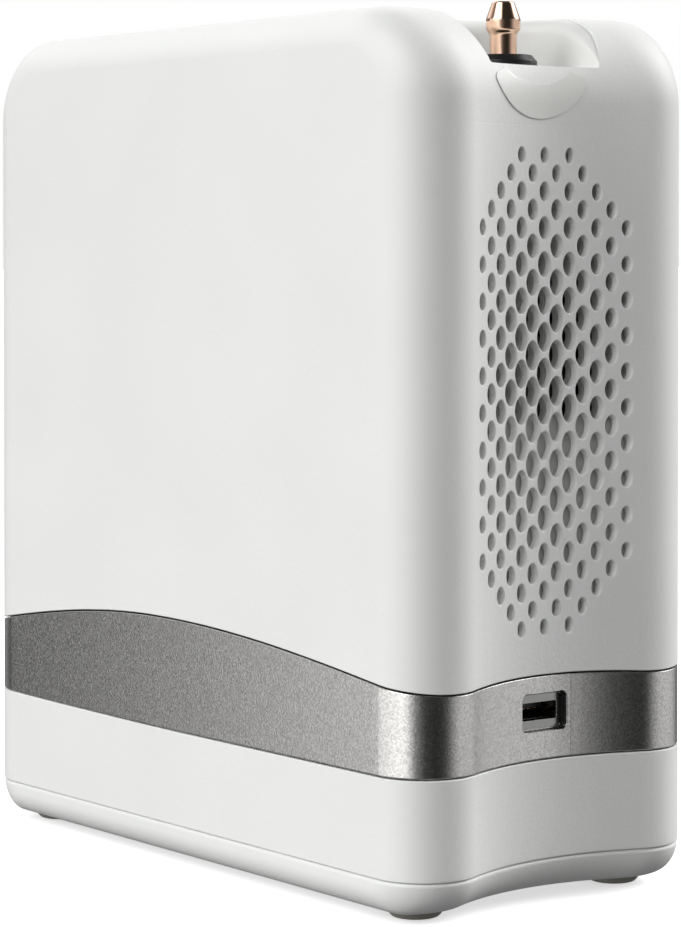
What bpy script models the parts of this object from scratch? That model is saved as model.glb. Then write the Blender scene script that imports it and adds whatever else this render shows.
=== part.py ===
"""A portable oxygen concentrator: one object for each piece, in metres, +Z up.

The floor is z = 0 and the origin lies under the middle of the body. +X is the narrow
end with the grille and the oxygen outlet, and -Y is the wide face seen from the front.
"""

import math

import bmesh
import bpy
from mathutils import Matrix

# Whole body
LENGTH = 0.2276
WIDTH = 0.1111
TOP = 0.2593
UNDERSIDE = 0.0037
WALL = 0.0026
PLAN_CORNER = 0.0165
END_HOLLOW = 0.0083
TOP_CORNER = 0.0270
BOTTOM_CORNER = 0.0120
FACE_EDGE = 0.0113
BASE_EDGE = 0.0090

# Clearances
GAP = 0.0003
OVERRUN = 0.0200
MERGE = 0.00003

# Heights of the seams between the shells
BASE_SEAM = 0.0130
BAND_LOW = 0.0420
BAND_HIGH = 0.0659
BAND_ARCH = 0.0111
ARCH_CENTRE_X = -0.0080
BAND_SPLIT_Y = 0.0100

# Grille of oval holes
GRILLE_Z = 0.1489
GRILLE_ROW = 0.00526
GRILLE_COLUMN = 0.00467
HOLE_LEAST_WIDTH = 0.0026
HOLE_MOST_WIDTH = 0.0055
HOLE_ASPECT_SHARE = 0.65
FULL_ROWS = 19
MOST_HOLES = 7
TAPER_COUNTS = (3, 4, 5, 6)
HOLE_SIDES = 6
HOLE_TURN_SHARE = 0.5
GRILLE_WALL = 0.0036
GRILLE_PAD_MARGIN = 0.0022
SCREEN_THICK = 0.0008
SCREEN_MARGIN = 0.0005

# Outlet pocket, collar and barb
OUTLET_SETBACK = 0.0183
POCKET_HALF_WIDTH = 0.0210
POCKET_DEPTH = 0.0160
POCKET_RIM = 0.0045
COLLAR_RADIUS = 0.0078
COLLAR_HEIGHT = 0.0035
COLLAR_CHAMFER = 0.0009
BARB_NECK_RADIUS = 0.0040
BARB_NECK_HEIGHT = 0.0061
BARB_UNDERCUT = 0.0015
BARB_RADIUS = 0.0051
BARB_LAND = 0.0029
BARB_CONE = 0.0053
BARB_TIP_RADIUS = 0.0032
BARB_BORE = 0.0016
BARB_TAIL = 0.0040
OUTLET_NUT_RADIUS = 0.0075
OUTLET_NUT_HEIGHT = 0.0040
OUTLET_NUT_SIDES = 6

# USB socket
USB_Y = 0.0000
USB_Z = 0.0559
USB_SLOT_WIDTH = 0.0133
USB_SLOT_HEIGHT = 0.0051
USB_RECESS_WIDTH = 0.0172
USB_RECESS_HEIGHT = 0.0112
USB_RECESS_BEVEL = 0.0010
USB_RECESS_DEPTH = 0.0025
USB_SHELL_THICK = 0.0005
USB_SHELL_DEPTH = 0.0140
USB_TONGUE_THICK = 0.0019
USB_TONGUE_WIDTH = 0.0111
USB_TONGUE_SETBACK = 0.0022
USB_SHELF_THICK = 0.0018

# Feet and base screws
FOOT_RADIUS = 0.0074
FOOT_BEVEL = 0.0010
FOOT_RECESS = 0.0015
FOOT_INSET_X = 0.0203
FOOT_INSET_Y = 0.0170
BOSS_RADIUS = 0.0045
BASE_BOSS_RADIUS = 0.0095
BASE_BOSS_TOP = 0.0124
LOWER_BOSS_TOP = 0.0320
RIB_THICK = 0.0020
SCREW_RADIUS = 0.0015
SCREW_HEAD_RADIUS = 0.0031
SCREW_HEAD_HEIGHT = 0.0020
SCREW_LENGTH = 0.0180
SCREW_SEAT = 0.0082

# Chassis and battery
DECK_UNDERSIDE = 0.0360
DECK_THICK = 0.0030
DECK_MARGIN_X = 0.0060
DECK_MARGIN_Y = 0.0040
POST_RADIUS = 0.0035
POST_FROM_FOOT = 0.0235
POST_CLEARANCE = 0.00945
BATTERY_LENGTH = 0.1300
BATTERY_WIDTH = 0.0700
BATTERY_HEIGHT = 0.0260
BATTERY_BEVEL = 0.0030

# Power inlet
INLET_Z = 0.0270
INLET_RADIUS = 0.0060
INLET_FLANGE = 0.0085
INLET_FLANGE_THICK = 0.0020
INLET_DEPTH = 0.0150
INLET_BORE = 0.0032
INLET_BORE_DEPTH = 0.0100
INLET_PIN = 0.0010

# Compressor
ISOLATOR_RADIUS = 0.0050
ISOLATOR_WAIST = 0.0036
ISOLATOR_HEIGHT = 0.0090
ISOLATOR_X = 0.0260
ISOLATOR_Y = 0.0180
PLATE_THICK = 0.0030
PLATE_MARGIN = 0.0055
CRANKCASE_X = 0.0200
CRANKCASE_LENGTH = 0.0320
CRANKCASE_WIDTH = 0.0400
SHAFT_HEIGHT = 0.0270
CRANKCASE_ABOVE_SHAFT = 0.0210
CRANKCASE_BEVEL = 0.0040
MOTOR_RADIUS = 0.0215
MOTOR_LENGTH = 0.0440
MOTOR_CAP = 0.0030
MOTOR_CAP_RADIUS = 0.0150
SHAFT_RADIUS = 0.0030
SHAFT_IN_MOTOR = 0.0120
WHEEL_RADIUS = 0.0170
WHEEL_HUB = 0.0055
WHEEL_DEPTH = 0.0080
WHEEL_STANDOFF = 0.0030
WHEEL_BLADES = 6
WHEEL_BLADE_THICK = 0.0014
CYLINDER_RADIUS = 0.0130
FIN_RADIUS = 0.0165
FIN_THICK = 0.0016
FIN_COUNT = 3
HEAD_RADIUS = 0.0155
HEAD_THICK = 0.0060
HEAD_CLEARANCE = 0.00665

# Sieve beds, manifold, valves, tank and muffler
SIEVE_SETBACK = 0.0025
SIEVE_Y = 0.0225
SIEVE_RADIUS = 0.0170
SIEVE_FLANGE = 0.0190
SIEVE_FLANGE_THICK = 0.0040
SIEVE_HEIGHT = 0.1350
MANIFOLD_WIDTH = 0.0800
MANIFOLD_HEIGHT = 0.0150
MANIFOLD_BEVEL = 0.0015
VALVE_RADIUS = 0.0080
VALVE_HEIGHT = 0.0220
VALVE_BASE = 0.0180
VALVE_BASE_HEIGHT = 0.0060
TANK_X = -0.0100
TANK_HEIGHT = 0.1150
TANK_DOME = 0.0030
TANK_WALL_CLEARANCE = 0.00395
TANK_MOTOR_CLEARANCE = 0.0035
MUFFLER_X = -0.0100
MUFFLER_HEIGHT = 0.0560
MUFFLER_WALL_CLEARANCE = 0.00625
MUFFLER_MOTOR_CLEARANCE = 0.0028

# Hoses
HOSE_RADIUS = 0.0030
HOSE_REACH = 0.0300
HOSE_STEPS = 7
HOSE_BEVEL_STEPS = 1
PORT_OFFSET = 0.0050

# Fan
FAN_SIZE = 0.0800
FAN_DEPTH = 0.0250
FAN_BORE = 0.0380
FAN_STANDOFF = 0.0030
FAN_CORNER = 0.0040
FAN_CUP_RADIUS = 0.0175
FAN_CUP_THICK = 0.0030
FAN_STRUT = 0.0035
FAN_STRUTS = 4
FAN_STRUT_TURN = math.radians(45)
FAN_HUB_RADIUS = 0.0170
FAN_HUB_DEPTH = 0.0180
FAN_TIP_CLEARANCE = 0.0010
FAN_BLADES = 7
FAN_BLADE_THICK = 0.0016
FAN_BLADE_ANGLE = math.radians(38)
FAN_PIN_RADIUS = 0.0020
BRACKET_THICK = 0.0030
BRACKET_LEG = 0.0040

# Boards
BOARD_THICK = 0.0016
BOARD_CENTRE_X = 0.0070
BOARD_LENGTH = 0.1000
BOARD_LOW = 0.1120
BOARD_HIGH = 0.2280
BOARD_STANDOFF = 0.0045
BOARD_PILLAR = 0.0030
BOARD_PILLAR_INSET = 0.0060
CHIP_SIZES = ((0.016, 0.016, 0.003), (0.024, 0.034, 0.008), (0.012, 0.020, 0.006))
CHIP_PLACES_SHARES = ((0.25, 0.75), (0.68, 0.66), (0.35, 0.25))

# Control panel, display and buttons
PANEL_X = -0.0220
PANEL_LENGTH = 0.0920
PANEL_WIDTH = 0.0600
PANEL_THICK = 0.0013
PANEL_CORNER = 0.0060
PANEL_BACKING = 0.0027
PANEL_MARGIN = 0.0020
DISPLAY_LENGTH = 0.0560
DISPLAY_WIDTH = 0.0260
DISPLAY_Y = 0.0100
DISPLAY_EDGE = 0.0015
WINDOW_THICK = 0.0010
BUTTON_Y = -0.0180
BUTTON_PITCH = 0.0180
BUTTON_RADIUS = 0.0065
BUTTON_FLANGE = 0.0015
BUTTON_FLANGE_THICK = 0.0012
BUTTON_STEM = 0.0025
BUTTON_TRAVEL = 0.0012
BUTTON_CROWN = 0.0005
SWITCH_SIZE = 0.0060
SWITCH_HEIGHT = 0.0025
SWITCH_CLEARANCE = 0.0004
CONTROL_BOARD_MARGIN = 0.0040
CONTROL_PILLAR = 0.0028
CONTROL_STEM_LENGTH = 0.0035

# Intake at the other narrow end
INTAKE_WIDTH = 0.0600
INTAKE_HEIGHT = 0.1100
INTAKE_CORNER = 0.0060
COVER_THICK = 0.0014
INTAKE_LEDGE = 0.0030
DUCT_WALL = 0.0020
DUCT_DEPTH = 0.0080
DUCT_LIP = 0.0020
LOUVRE_COUNT = 9
LOUVRE_HEIGHT = 0.0046
LOUVRE_SIDE_MARGIN = 0.0060

# Steps of the curves: outside, and inside where nothing shows
CORNER_STEPS = 6
HOLLOW_STEPS = 6
TOP_CORNER_STEPS = 6
BOTTOM_CORNER_STEPS = 4
INSIDE_STEPS = 3
ARCH_STEPS = 20
PRISM_STEPS = 3
RIM_STEPS = 3
ROUND_SIDES = 16
BORE_SIDES = 24
SMALL_SIDES = 12
FASTENER_SIDES = 8

# Places that follow from the sizes above
CORNER_X = LENGTH / 2 - PLAN_CORNER
CORNER_Y = WIDTH / 2 - PLAN_CORNER
HOLLOW_RADIUS = (END_HOLLOW**2 + CORNER_Y**2) / (2 * END_HOLLOW) - PLAN_CORNER
HOLLOW_X = LENGTH / 2 - END_HOLLOW + HOLLOW_RADIUS
VALLEY_X = LENGTH / 2 - END_HOLLOW
INNER_X = VALLEY_X - WALL
INNER_Y = WIDTH / 2 - WALL
FLOOR_Z = UNDERSIDE + WALL
OUTLET_X = VALLEY_X - OUTLET_SETBACK
POCKET_Z = TOP - POCKET_DEPTH
COLLAR_Z = POCKET_Z + GAP
NECK_Z = COLLAR_Z + COLLAR_HEIGHT
FOOT_X = LENGTH / 2 - FOOT_INSET_X
FOOT_Y = WIDTH / 2 - FOOT_INSET_Y
FOOT_SEAT = UNDERSIDE + FOOT_RECESS
POST_X = FOOT_X - POST_FROM_FOOT
POST_Y = INNER_Y - POST_CLEARANCE - POST_RADIUS
GRILLE_ROWS = FULL_ROWS + 2 * len(TAPER_COUNTS)
GRILLE_HALF_WIDTH = GRILLE_COLUMN * (MOST_HOLES - 1) + HOLE_LEAST_WIDTH / 2 + GRILLE_PAD_MARGIN
GRILLE_HALF_HEIGHT = (
    GRILLE_ROW * (GRILLE_ROWS - 1) / 2 + HOLE_LEAST_WIDTH / HOLE_ASPECT_SHARE / 2 + GRILLE_PAD_MARGIN
)
DECK_TOP = DECK_UNDERSIDE + DECK_THICK
PLATE_Z = DECK_TOP + ISOLATOR_HEIGHT + 2 * GAP
SHAFT_Z = PLATE_Z + PLATE_THICK + SHAFT_HEIGHT
MOTOR_END_X = CRANKCASE_X - GAP - MOTOR_LENGTH
WHEEL_FRONT_X = MOTOR_END_X - WHEEL_STANDOFF
WHEEL_BACK_X = WHEEL_FRONT_X - WHEEL_DEPTH
CYLINDER_X = CRANKCASE_X + CRANKCASE_LENGTH / 2
CYLINDER_LENGTH = INNER_Y - HEAD_CLEARANCE - HEAD_THICK - GAP - CRANKCASE_WIDTH / 2
TANK_OUTER_Y = INNER_Y - TANK_WALL_CLEARANCE
TANK_RADIUS = (TANK_OUTER_Y - MOTOR_RADIUS - TANK_MOTOR_CLEARANCE) / 2
TANK_Y = -(TANK_OUTER_Y - TANK_RADIUS)
MUFFLER_OUTER_Y = INNER_Y - MUFFLER_WALL_CLEARANCE
MUFFLER_RADIUS = (MUFFLER_OUTER_Y - MOTOR_RADIUS - MUFFLER_MOTOR_CLEARANCE) / 2
MUFFLER_Y = MUFFLER_OUTER_Y - MUFFLER_RADIUS
FAN_FRONT_X = INNER_X - FAN_STANDOFF
FAN_BACK_X = FAN_FRONT_X - FAN_DEPTH
DUCT_X = -(INNER_X - DUCT_DEPTH)
SIEVE_X = DUCT_X + SIEVE_SETBACK + SIEVE_FLANGE
SIEVE_TOP = DECK_TOP + GAP + SIEVE_HEIGHT
MANIFOLD_Z = SIEVE_TOP + GAP
MANIFOLD_TOP = MANIFOLD_Z + MANIFOLD_HEIGHT
PANEL_Z = TOP - PANEL_THICK
PANEL_SEAT = PANEL_Z - GAP
BACKING_Z = PANEL_SEAT - PANEL_BACKING
FLANGE_TOP = BACKING_Z - GAP
STEM_END = FLANGE_TOP - BUTTON_FLANGE_THICK - CONTROL_STEM_LENGTH
CONTROL_BOARD_TOP = STEM_END - BUTTON_TRAVEL - SWITCH_CLEARANCE - SWITCH_HEIGHT
BOARD_Y = INNER_Y - BOARD_STANDOFF - GAP - BOARD_THICK
COVER_SEAT = COVER_THICK + GAP
USB_FLOOR_X = VALLEY_X - USB_RECESS_DEPTH
USB_BACK_X = USB_FLOOR_X - WALL
BUTTON_NAMES = ("power_button", "flow_down_button", "flow_up_button", "alarm_button")


def clear_scene():
    for thing in list(bpy.data.objects):
        bpy.data.objects.remove(thing, do_unlink=True)


def collection(name):
    made = bpy.data.collections.new(name)
    bpy.context.scene.collection.children.link(made)
    return made


clear_scene()
PARTS = collection("oxygen_concentrator")
CUTTERS = collection("cutters")


def finish(name, colour, roughness, metallic=0.0):
    made = bpy.data.materials.new(name)
    made.use_nodes = True
    shader = made.node_tree.nodes["Principled BSDF"]
    shader.inputs["Base Color"].default_value = (*colour, 1.0)
    shader.inputs["Roughness"].default_value = roughness
    shader.inputs["Metallic"].default_value = metallic
    return made


WHITE = finish("white_abs", (0.80, 0.80, 0.79), 0.45)
SILVER = finish("silver_paint", (0.45, 0.44, 0.42), 0.35, 0.7)
RUBBER = finish("grey_rubber", (0.10, 0.10, 0.11), 0.85)
COPPER = finish("copper_plate", (0.85, 0.50, 0.36), 0.15, 1.0)
BLACK = finish("black_nylon", (0.02, 0.02, 0.02), 0.4)
STEEL = finish("steel", (0.55, 0.55, 0.56), 0.3, 1.0)
ALUMINIUM = finish("aluminium", (0.70, 0.71, 0.72), 0.4, 1.0)
BOARD_GREEN = finish("circuit_board", (0.02, 0.15, 0.06), 0.5)
FOAM = finish("filter_foam", (0.05, 0.05, 0.06), 0.95)
GLASS = finish("display_glass", (0.03, 0.04, 0.05), 0.08)
HOSE = finish("silicone_hose", (0.60, 0.62, 0.62), 0.5)


def link(name, mesh, material, group):
    thing = bpy.data.objects.new(name, mesh)
    group.objects.link(thing)
    if group is CUTTERS:
        thing.hide_render = True
        thing.display_type = "WIRE"
    elif material is not None:
        mesh.materials.append(material)
    return thing


def object_from(name, work, material=None, group=None):
    bmesh.ops.recalc_face_normals(work, faces=work.faces[:])
    mesh = bpy.data.meshes.new(name)
    work.to_mesh(mesh)
    work.free()
    return link(name, mesh, material, group or CUTTERS)


def block(name, x, y, z, material=None, group=None, bevel=0.0, segments=2):
    """A box between the low and high values of each axis, with its origin at its middle."""
    sides = [high - low for low, high in (x, y, z)]
    work = bmesh.new()
    bmesh.ops.create_cube(work, size=1.0)
    bmesh.ops.scale(work, vec=sides, verts=work.verts[:])
    thing = object_from(name, work, material, group)
    thing.location = [(low + high) / 2 for low, high in (x, y, z)]
    if bevel:
        round_edges(thing, bevel, segments)
    return thing


def round_edges(thing, width, segments=2):
    bevel = thing.modifiers.new("rounded_edges", "BEVEL")
    bevel.width = width
    bevel.segments = segments
    bevel.limit_method = "ANGLE"


TURNS = {"X": (0.0, math.pi / 2, 0.0), "Y": (-math.pi / 2, 0.0, 0.0), "Z": (0.0, 0.0, 0.0)}


def rod(name, radius, start, length, axis, material=None, group=None, sides=SMALL_SIDES):
    """A cylinder from its start point along an axis."""
    work = bmesh.new()
    bmesh.ops.create_cone(
        work, cap_ends=True, segments=sides, radius1=radius, radius2=radius, depth=length
    )
    bmesh.ops.translate(work, vec=(0.0, 0.0, length / 2), verts=work.verts[:])
    thing = object_from(name, work, material, group)
    thing.location = start
    thing.rotation_euler = TURNS[axis]
    shade(thing)
    return thing


def turned(name, profile, place, axis, material=None, group=None, sides=ROUND_SIDES, bored=False):
    """A turned piece: (radius, height) points down its outer side, spun round the axis."""
    count = len(profile)
    edges = [(i, i + 1) for i in range(count - 1)]
    if bored:
        edges.append((count - 1, 0))
    mesh = bpy.data.meshes.new(name)
    mesh.from_pydata([(radius, 0.0, height) for radius, height in profile], edges, [])
    thing = link(name, mesh, material, group or CUTTERS)
    thing.location = place
    thing.rotation_euler = TURNS[axis]
    spin = thing.modifiers.new("spin", "SCREW")
    spin.steps = sides
    spin.render_steps = sides
    spin.use_merge_vertices = True
    spin.merge_threshold = MERGE
    spin.use_smooth_shade = False
    return thing


def shade(thing):
    thing.data.shade_smooth()
    thing.data.set_sharp_from_angle(angle=math.radians(35))


def boolean(piece, other, operation):
    change = piece.modifiers.new(other.name, "BOOLEAN")
    change.operation = operation
    change.solver = "EXACT"
    change.object = other


def cut(piece, *others):
    for other in others:
        boolean(piece, other, "DIFFERENCE")


def join(piece, *others):
    for other in others:
        boolean(piece, other, "UNION")


def keep(piece, other):
    boolean(piece, other, "INTERSECT")


def round_corners(work, edges, corner):
    bmesh.ops.bevel(
        work, geom=edges, offset=corner, segments=PRISM_STEPS, profile=0.5, affect="EDGES"
    )


def rounded_prism(name, y, z, x, corner, material=None, group=None):
    """A prism along X whose YZ outline is a rectangle with round corners."""
    thing = block(name, x, y, z, material, group)
    work = bmesh.new()
    work.from_mesh(thing.data)
    along = [e for e in work.edges if abs(e.verts[0].co.x - e.verts[1].co.x) > GAP]
    round_corners(work, along, corner)
    work.to_mesh(thing.data)
    work.free()
    return thing


def tangent_y(inset):
    """Where the convex corner of the plan meets the hollow end."""
    return CORNER_Y * (HOLLOW_RADIUS + inset) / (HOLLOW_RADIUS + PLAN_CORNER)


def half_length(y, inset=0.0):
    """Half of the body's length at a distance y from the middle."""
    y = abs(y)
    if y < tangent_y(inset):
        return HOLLOW_X - math.sqrt((HOLLOW_RADIUS + inset) ** 2 - y**2)
    return CORNER_X + math.sqrt(max((PLAN_CORNER - inset) ** 2 - (y - CORNER_Y) ** 2, 0.0))


def fall(y, edge, inset):
    """How far a round edge has dropped from the crest at a distance y from the middle."""
    past = abs(y) - (WIDTH / 2 - edge)
    if past <= 0:
        return inset
    return edge - math.sqrt(max((edge - inset) ** 2 - past**2, 0.0))


def section(y, inset, top_steps, base_steps):
    """The XZ outline of the body at y: a rectangle with round corners."""
    side = half_length(y, inset)
    top_fall = fall(y, FACE_EDGE, inset)
    base_fall = fall(y, BASE_EDGE, inset)
    top = TOP - top_fall
    bottom = UNDERSIDE + base_fall
    top_radius = TOP_CORNER - top_fall
    base_radius = BOTTOM_CORNER - base_fall
    corners = (
        (side - top_radius, top - top_radius, top_radius, 0.0, top_steps),
        (-side + top_radius, top - top_radius, top_radius, 90.0, top_steps),
        (-side + base_radius, bottom + base_radius, base_radius, 180.0, base_steps),
        (side - base_radius, bottom + base_radius, base_radius, 270.0, base_steps),
    )
    points = []
    for x, z, radius, start, steps in corners:
        for step in range(steps + 1):
            angle = math.radians(start + 90.0 * step / steps)
            points.append((x + radius * math.cos(angle), y, z + radius * math.sin(angle)))
    return points


def stations(inset, corner_steps, hollow_steps):
    """The y values of the sections, close together round the plan's corners."""
    radius = PLAN_CORNER - inset
    tangent = tangent_y(inset)
    last = math.asin((tangent - CORNER_Y) / radius)
    arc = []
    for step in range(corner_steps + 1):
        angle = math.pi / 2 + (last - math.pi / 2) * step / corner_steps
        arc.append(CORNER_Y + radius * math.sin(angle))
    hollow = [tangent * (1 - 2 * step / hollow_steps) for step in range(1, hollow_steps)]
    return arc + hollow + [-y for y in reversed(arc)]


def envelope(name, inset=0.0, inside=False):
    """The whole body's outer form, or that form drawn in by an inset, as a cutter."""
    steps = (CORNER_STEPS, HOLLOW_STEPS, TOP_CORNER_STEPS, BOTTOM_CORNER_STEPS)
    if inside:
        steps = [max(step // 2, INSIDE_STEPS) for step in steps]
    work = bmesh.new()
    rows = []
    for y in stations(inset, *steps[:2]):
        rows.append([work.verts.new(point) for point in section(y, inset, *steps[2:])])
    for one, two in zip(rows, rows[1:]):
        for i in range(len(one)):
            j = (i + 1) % len(one)
            work.faces.new((one[i], one[j], two[j], two[i]))
    work.faces.new(rows[0])
    work.faces.new(rows[-1])
    return object_from(name, work)


def edge_height(x):
    """The height of the band's upper edge, which arches over the wide faces."""
    reach = LENGTH / 2 + abs(ARCH_CENTRE_X)
    share = min(abs(x - ARCH_CENTRE_X) / reach, 1.0)
    return BAND_HIGH + BAND_ARCH * math.cos(math.pi / 2 * share)


def slab(name, low, high, y, material, group):
    """A prism along Y between two heights, either of which may follow the band's arch."""
    span = LENGTH / 2 + OVERRUN
    xs = [-span + 2 * span * i / ARCH_STEPS for i in range(ARCH_STEPS + 1)]
    lower = xs if callable(low) else (xs[0], xs[-1])
    upper = xs if callable(high) else (xs[0], xs[-1])
    outline = [(x, low(x) if callable(low) else low) for x in lower]
    outline += [(x, high(x) if callable(high) else high) for x in reversed(upper)]
    work = bmesh.new()
    front = [work.verts.new((x, y[0], z)) for x, z in outline]
    back = [work.verts.new((x, y[1], z)) for x, z in outline]
    for i in range(len(outline)):
        j = (i + 1) % len(outline)
        work.faces.new((front[i], front[j], back[j], back[i]))
    work.faces.new(front)
    work.faces.new(back)
    return object_from(name, work, material, group)


ACROSS = (-WIDTH / 2 - OVERRUN, WIDTH / 2 + OVERRUN)
OUTER = envelope("outer_form")


def shell(name, low, high, y, material, cores=()):
    """A moulded shell: a slice of the outer form, hollowed except for its cores."""
    piece = slab(name, low, high, y, material, PARTS)
    keep(piece, OUTER)
    hollow = envelope(name + "_hollow", WALL, inside=True)
    cut(hollow, *cores)
    cut(piece, hollow)
    return piece


def pocket_outline(spread):
    """The U of the outlet pocket, open towards +X, drawn out by a spread."""
    half = POCKET_HALF_WIDTH + spread
    front = LENGTH / 2 + OVERRUN
    points = [(front, -half)]
    for step in range(ROUND_SIDES // 2 + 1):
        angle = -math.pi / 2 - math.pi * step / (ROUND_SIDES // 2)
        points.append((OUTLET_X + half * math.cos(angle), half * math.sin(angle)))
    points.append((front, half))
    return points


def pocket_loft(name, levels):
    """A solid through U outlines, each given by its spread and height."""
    work = bmesh.new()
    rows = [[work.verts.new((x, y, z)) for x, y in pocket_outline(spread)] for spread, z in levels]
    for one, two in zip(rows, rows[1:]):
        for i in range(len(one)):
            j = (i + 1) % len(one)
            work.faces.new((one[i], one[j], two[j], two[i]))
    work.faces.new(rows[0])
    work.faces.new(rows[-1])
    return object_from(name, work)


def pocket_cutter():
    levels = [(0.0, POCKET_Z), (0.0, TOP - POCKET_RIM)]
    for step in range(1, RIM_STEPS + 1):
        angle = math.pi / 2 * step / RIM_STEPS
        spread = POCKET_RIM * (1 - math.cos(angle))
        levels.append((spread, TOP - POCKET_RIM + POCKET_RIM * math.sin(angle)))
    levels.append((POCKET_RIM, TOP + OVERRUN))
    return pocket_loft("outlet_pocket", levels)


def row_counts():
    """Holes in each row: few at both ends, and one hole more or less in turn between."""
    taper = list(TAPER_COUNTS)
    middle = [MOST_HOLES - i % 2 for i in range(FULL_ROWS)]
    return taper + middle + taper[::-1]


def grille_cutter():
    """All the oval holes of the grille as one cutter, smaller towards the edges."""
    centre = (GRILLE_ROWS - 1) / 2
    work = bmesh.new()
    for row, count in enumerate(row_counts()):
        for number in range(count):
            column = 2 * number - (count - 1)
            along = math.cos(math.pi / 2 * (row - centre) / (centre + 1))
            across = math.cos(math.pi / 2 * column / MOST_HOLES)
            growth = HOLE_MOST_WIDTH - HOLE_LEAST_WIDTH
            width = HOLE_LEAST_WIDTH + growth * along * across
            height = width / HOLE_ASPECT_SHARE
            y = GRILLE_COLUMN * column
            z = GRILLE_Z + GRILLE_ROW * (row - centre)
            add_hole(work, y, z, width / 2, height / 2)
    return object_from("grille_holes", work)


def add_hole(work, y, z, half_width, half_height):
    low = INNER_X - WALL
    high = LENGTH / 2 + OVERRUN
    rings = []
    for x in (low, high):
        ring = []
        for side in range(HOLE_SIDES):
            angle = 2 * math.pi * (side + HOLE_TURN_SHARE) / HOLE_SIDES
            point = (x, y + half_width * math.cos(angle), z + half_height * math.sin(angle))
            ring.append(work.verts.new(point))
        rings.append(ring)
    for i in range(HOLE_SIDES):
        j = (i + 1) % HOLE_SIDES
        work.faces.new((rings[0][i], rings[0][j], rings[1][j], rings[1][i]))
    work.faces.new(rings[0])
    work.faces.new(rings[1])


def grille_area(name, shrink, x, material=None, group=None):
    """A block that covers all the holes of the grille, drawn in by a shrink on all sides."""
    y = GRILLE_HALF_WIDTH - shrink
    z = GRILLE_HALF_HEIGHT - shrink
    return block(name, x, (-y, y), (GRILLE_Z - z, GRILLE_Z + z), material, group)


def grille_pad():
    """The thicker wall round the holes, as a core."""
    pad = grille_area("grille_pad", 0.0, (INNER_X - WALL, LENGTH / 2))
    cut(pad, envelope("pad_back", GRILLE_WALL, inside=True))
    return pad


def grille_screen():
    """A thin sheet behind the holes, which follows the hollow end and keeps lint off the fan."""
    x = (INNER_X - 2 * WALL, LENGTH / 2)
    sheet = grille_area("grille_screen", SCREEN_MARGIN, x, WHITE, PARTS)
    keep(sheet, envelope("screen_front", GRILLE_WALL + GAP, inside=True))
    cut(sheet, envelope("screen_back", GRILLE_WALL + GAP + SCREEN_THICK, inside=True))


def intake_window(name, shrink, x):
    """The intake's outline as a prism, drawn in by a shrink on all sides."""
    y = INTAKE_WIDTH / 2 - shrink
    z = INTAKE_HEIGHT / 2 - shrink
    corner = INTAKE_CORNER - shrink
    return rounded_prism(name, (-y, y), (GRILLE_Z - z, GRILLE_Z + z), x, corner)


OUTSIDE_X = -(LENGTH / 2 + OVERRUN)


def intake_cutters():
    """The cover's recess, the way through the wall and the narrower way past the filter."""
    recess = intake_window("cover_recess", 0.0, (OUTSIDE_X, DUCT_X))
    cut(recess, envelope("cover_bed", COVER_SEAT))
    through = intake_window("filter_well", INTAKE_LEDGE, (OUTSIDE_X, DUCT_X - DUCT_LIP))
    past = intake_window("duct_mouth", 2 * INTAKE_LEDGE, (OUTSIDE_X, DUCT_X + OVERRUN))
    return recess, through, past


def intake_core():
    spread = DUCT_WALL - INTAKE_LEDGE
    return intake_window("intake_duct", -spread, (OUTSIDE_X, DUCT_X))


def board_corners():
    reach_x = BOARD_LENGTH / 2 - BOARD_PILLAR_INSET
    heights = (BOARD_LOW + BOARD_PILLAR_INSET, BOARD_HIGH - BOARD_PILLAR_INSET)
    return [(BOARD_CENTRE_X + side * reach_x, z) for side in (-1, 1) for z in heights]


def board_pillars():
    start = BOARD_Y + BOARD_THICK + GAP
    return [
        rod(f"board_pillar_{i}", BOARD_PILLAR, (x, start, z), OVERRUN, "Y", sides=FASTENER_SIDES)
        for i, (x, z) in enumerate(board_corners())
    ]


def control_board_span():
    x = PANEL_LENGTH / 2 - CONTROL_BOARD_MARGIN
    y = PANEL_WIDTH / 2 - CONTROL_BOARD_MARGIN
    return (PANEL_X - x, PANEL_X + x), (-y, y)


def control_pillars():
    xs, ys = control_board_span()
    z = CONTROL_BOARD_TOP + GAP
    pillars = []
    for x in (xs[0] + CONTROL_PILLAR, xs[1] - CONTROL_PILLAR):
        for y in (ys[0] + CONTROL_PILLAR, ys[1] - CONTROL_PILLAR):
            name = f"control_pillar_{len(pillars)}"
            pillars.append(rod(name, CONTROL_PILLAR, (x, y, z), OVERRUN, "Z", sides=FASTENER_SIDES))
    return pillars


def panel_outline(name, shrink, z, material=None, group=None):
    """The control panel's outline as an upright prism with round corners."""
    x = PANEL_LENGTH / 2 - shrink
    y = PANEL_WIDTH / 2 - shrink
    thing = block(name, (PANEL_X - x, PANEL_X + x), (-y, y), z, material, group)
    work = bmesh.new()
    work.from_mesh(thing.data)
    upright = [e for e in work.edges if abs(e.verts[0].co.z - e.verts[1].co.z) > GAP]
    round_corners(work, upright, PANEL_CORNER - shrink)
    work.to_mesh(thing.data)
    work.free()
    return thing


def button_places():
    count = len(BUTTON_NAMES)
    middle = (count - 1) / 2
    return [(PANEL_X + BUTTON_PITCH * (i - middle), BUTTON_Y) for i in range(count)]


def button_holes(name):
    radius = BUTTON_RADIUS + GAP
    z = CONTROL_BOARD_TOP
    return [
        rod(f"{name}_{i}", radius, (x, y, z), OVERRUN, "Z", sides=ROUND_SIDES)
        for i, (x, y) in enumerate(button_places())
    ]


def display_span(spread):
    x = DISPLAY_LENGTH / 2 + spread
    y = DISPLAY_WIDTH / 2 + spread
    return (PANEL_X - x, PANEL_X + x), (DISPLAY_Y - y, DISPLAY_Y + y)


def housing_foot(x):
    """The lower edge of the upper housing, which follows the band's arch."""
    return edge_height(x) + GAP / 2


def band_top(x):
    return edge_height(x) - GAP / 2


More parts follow.
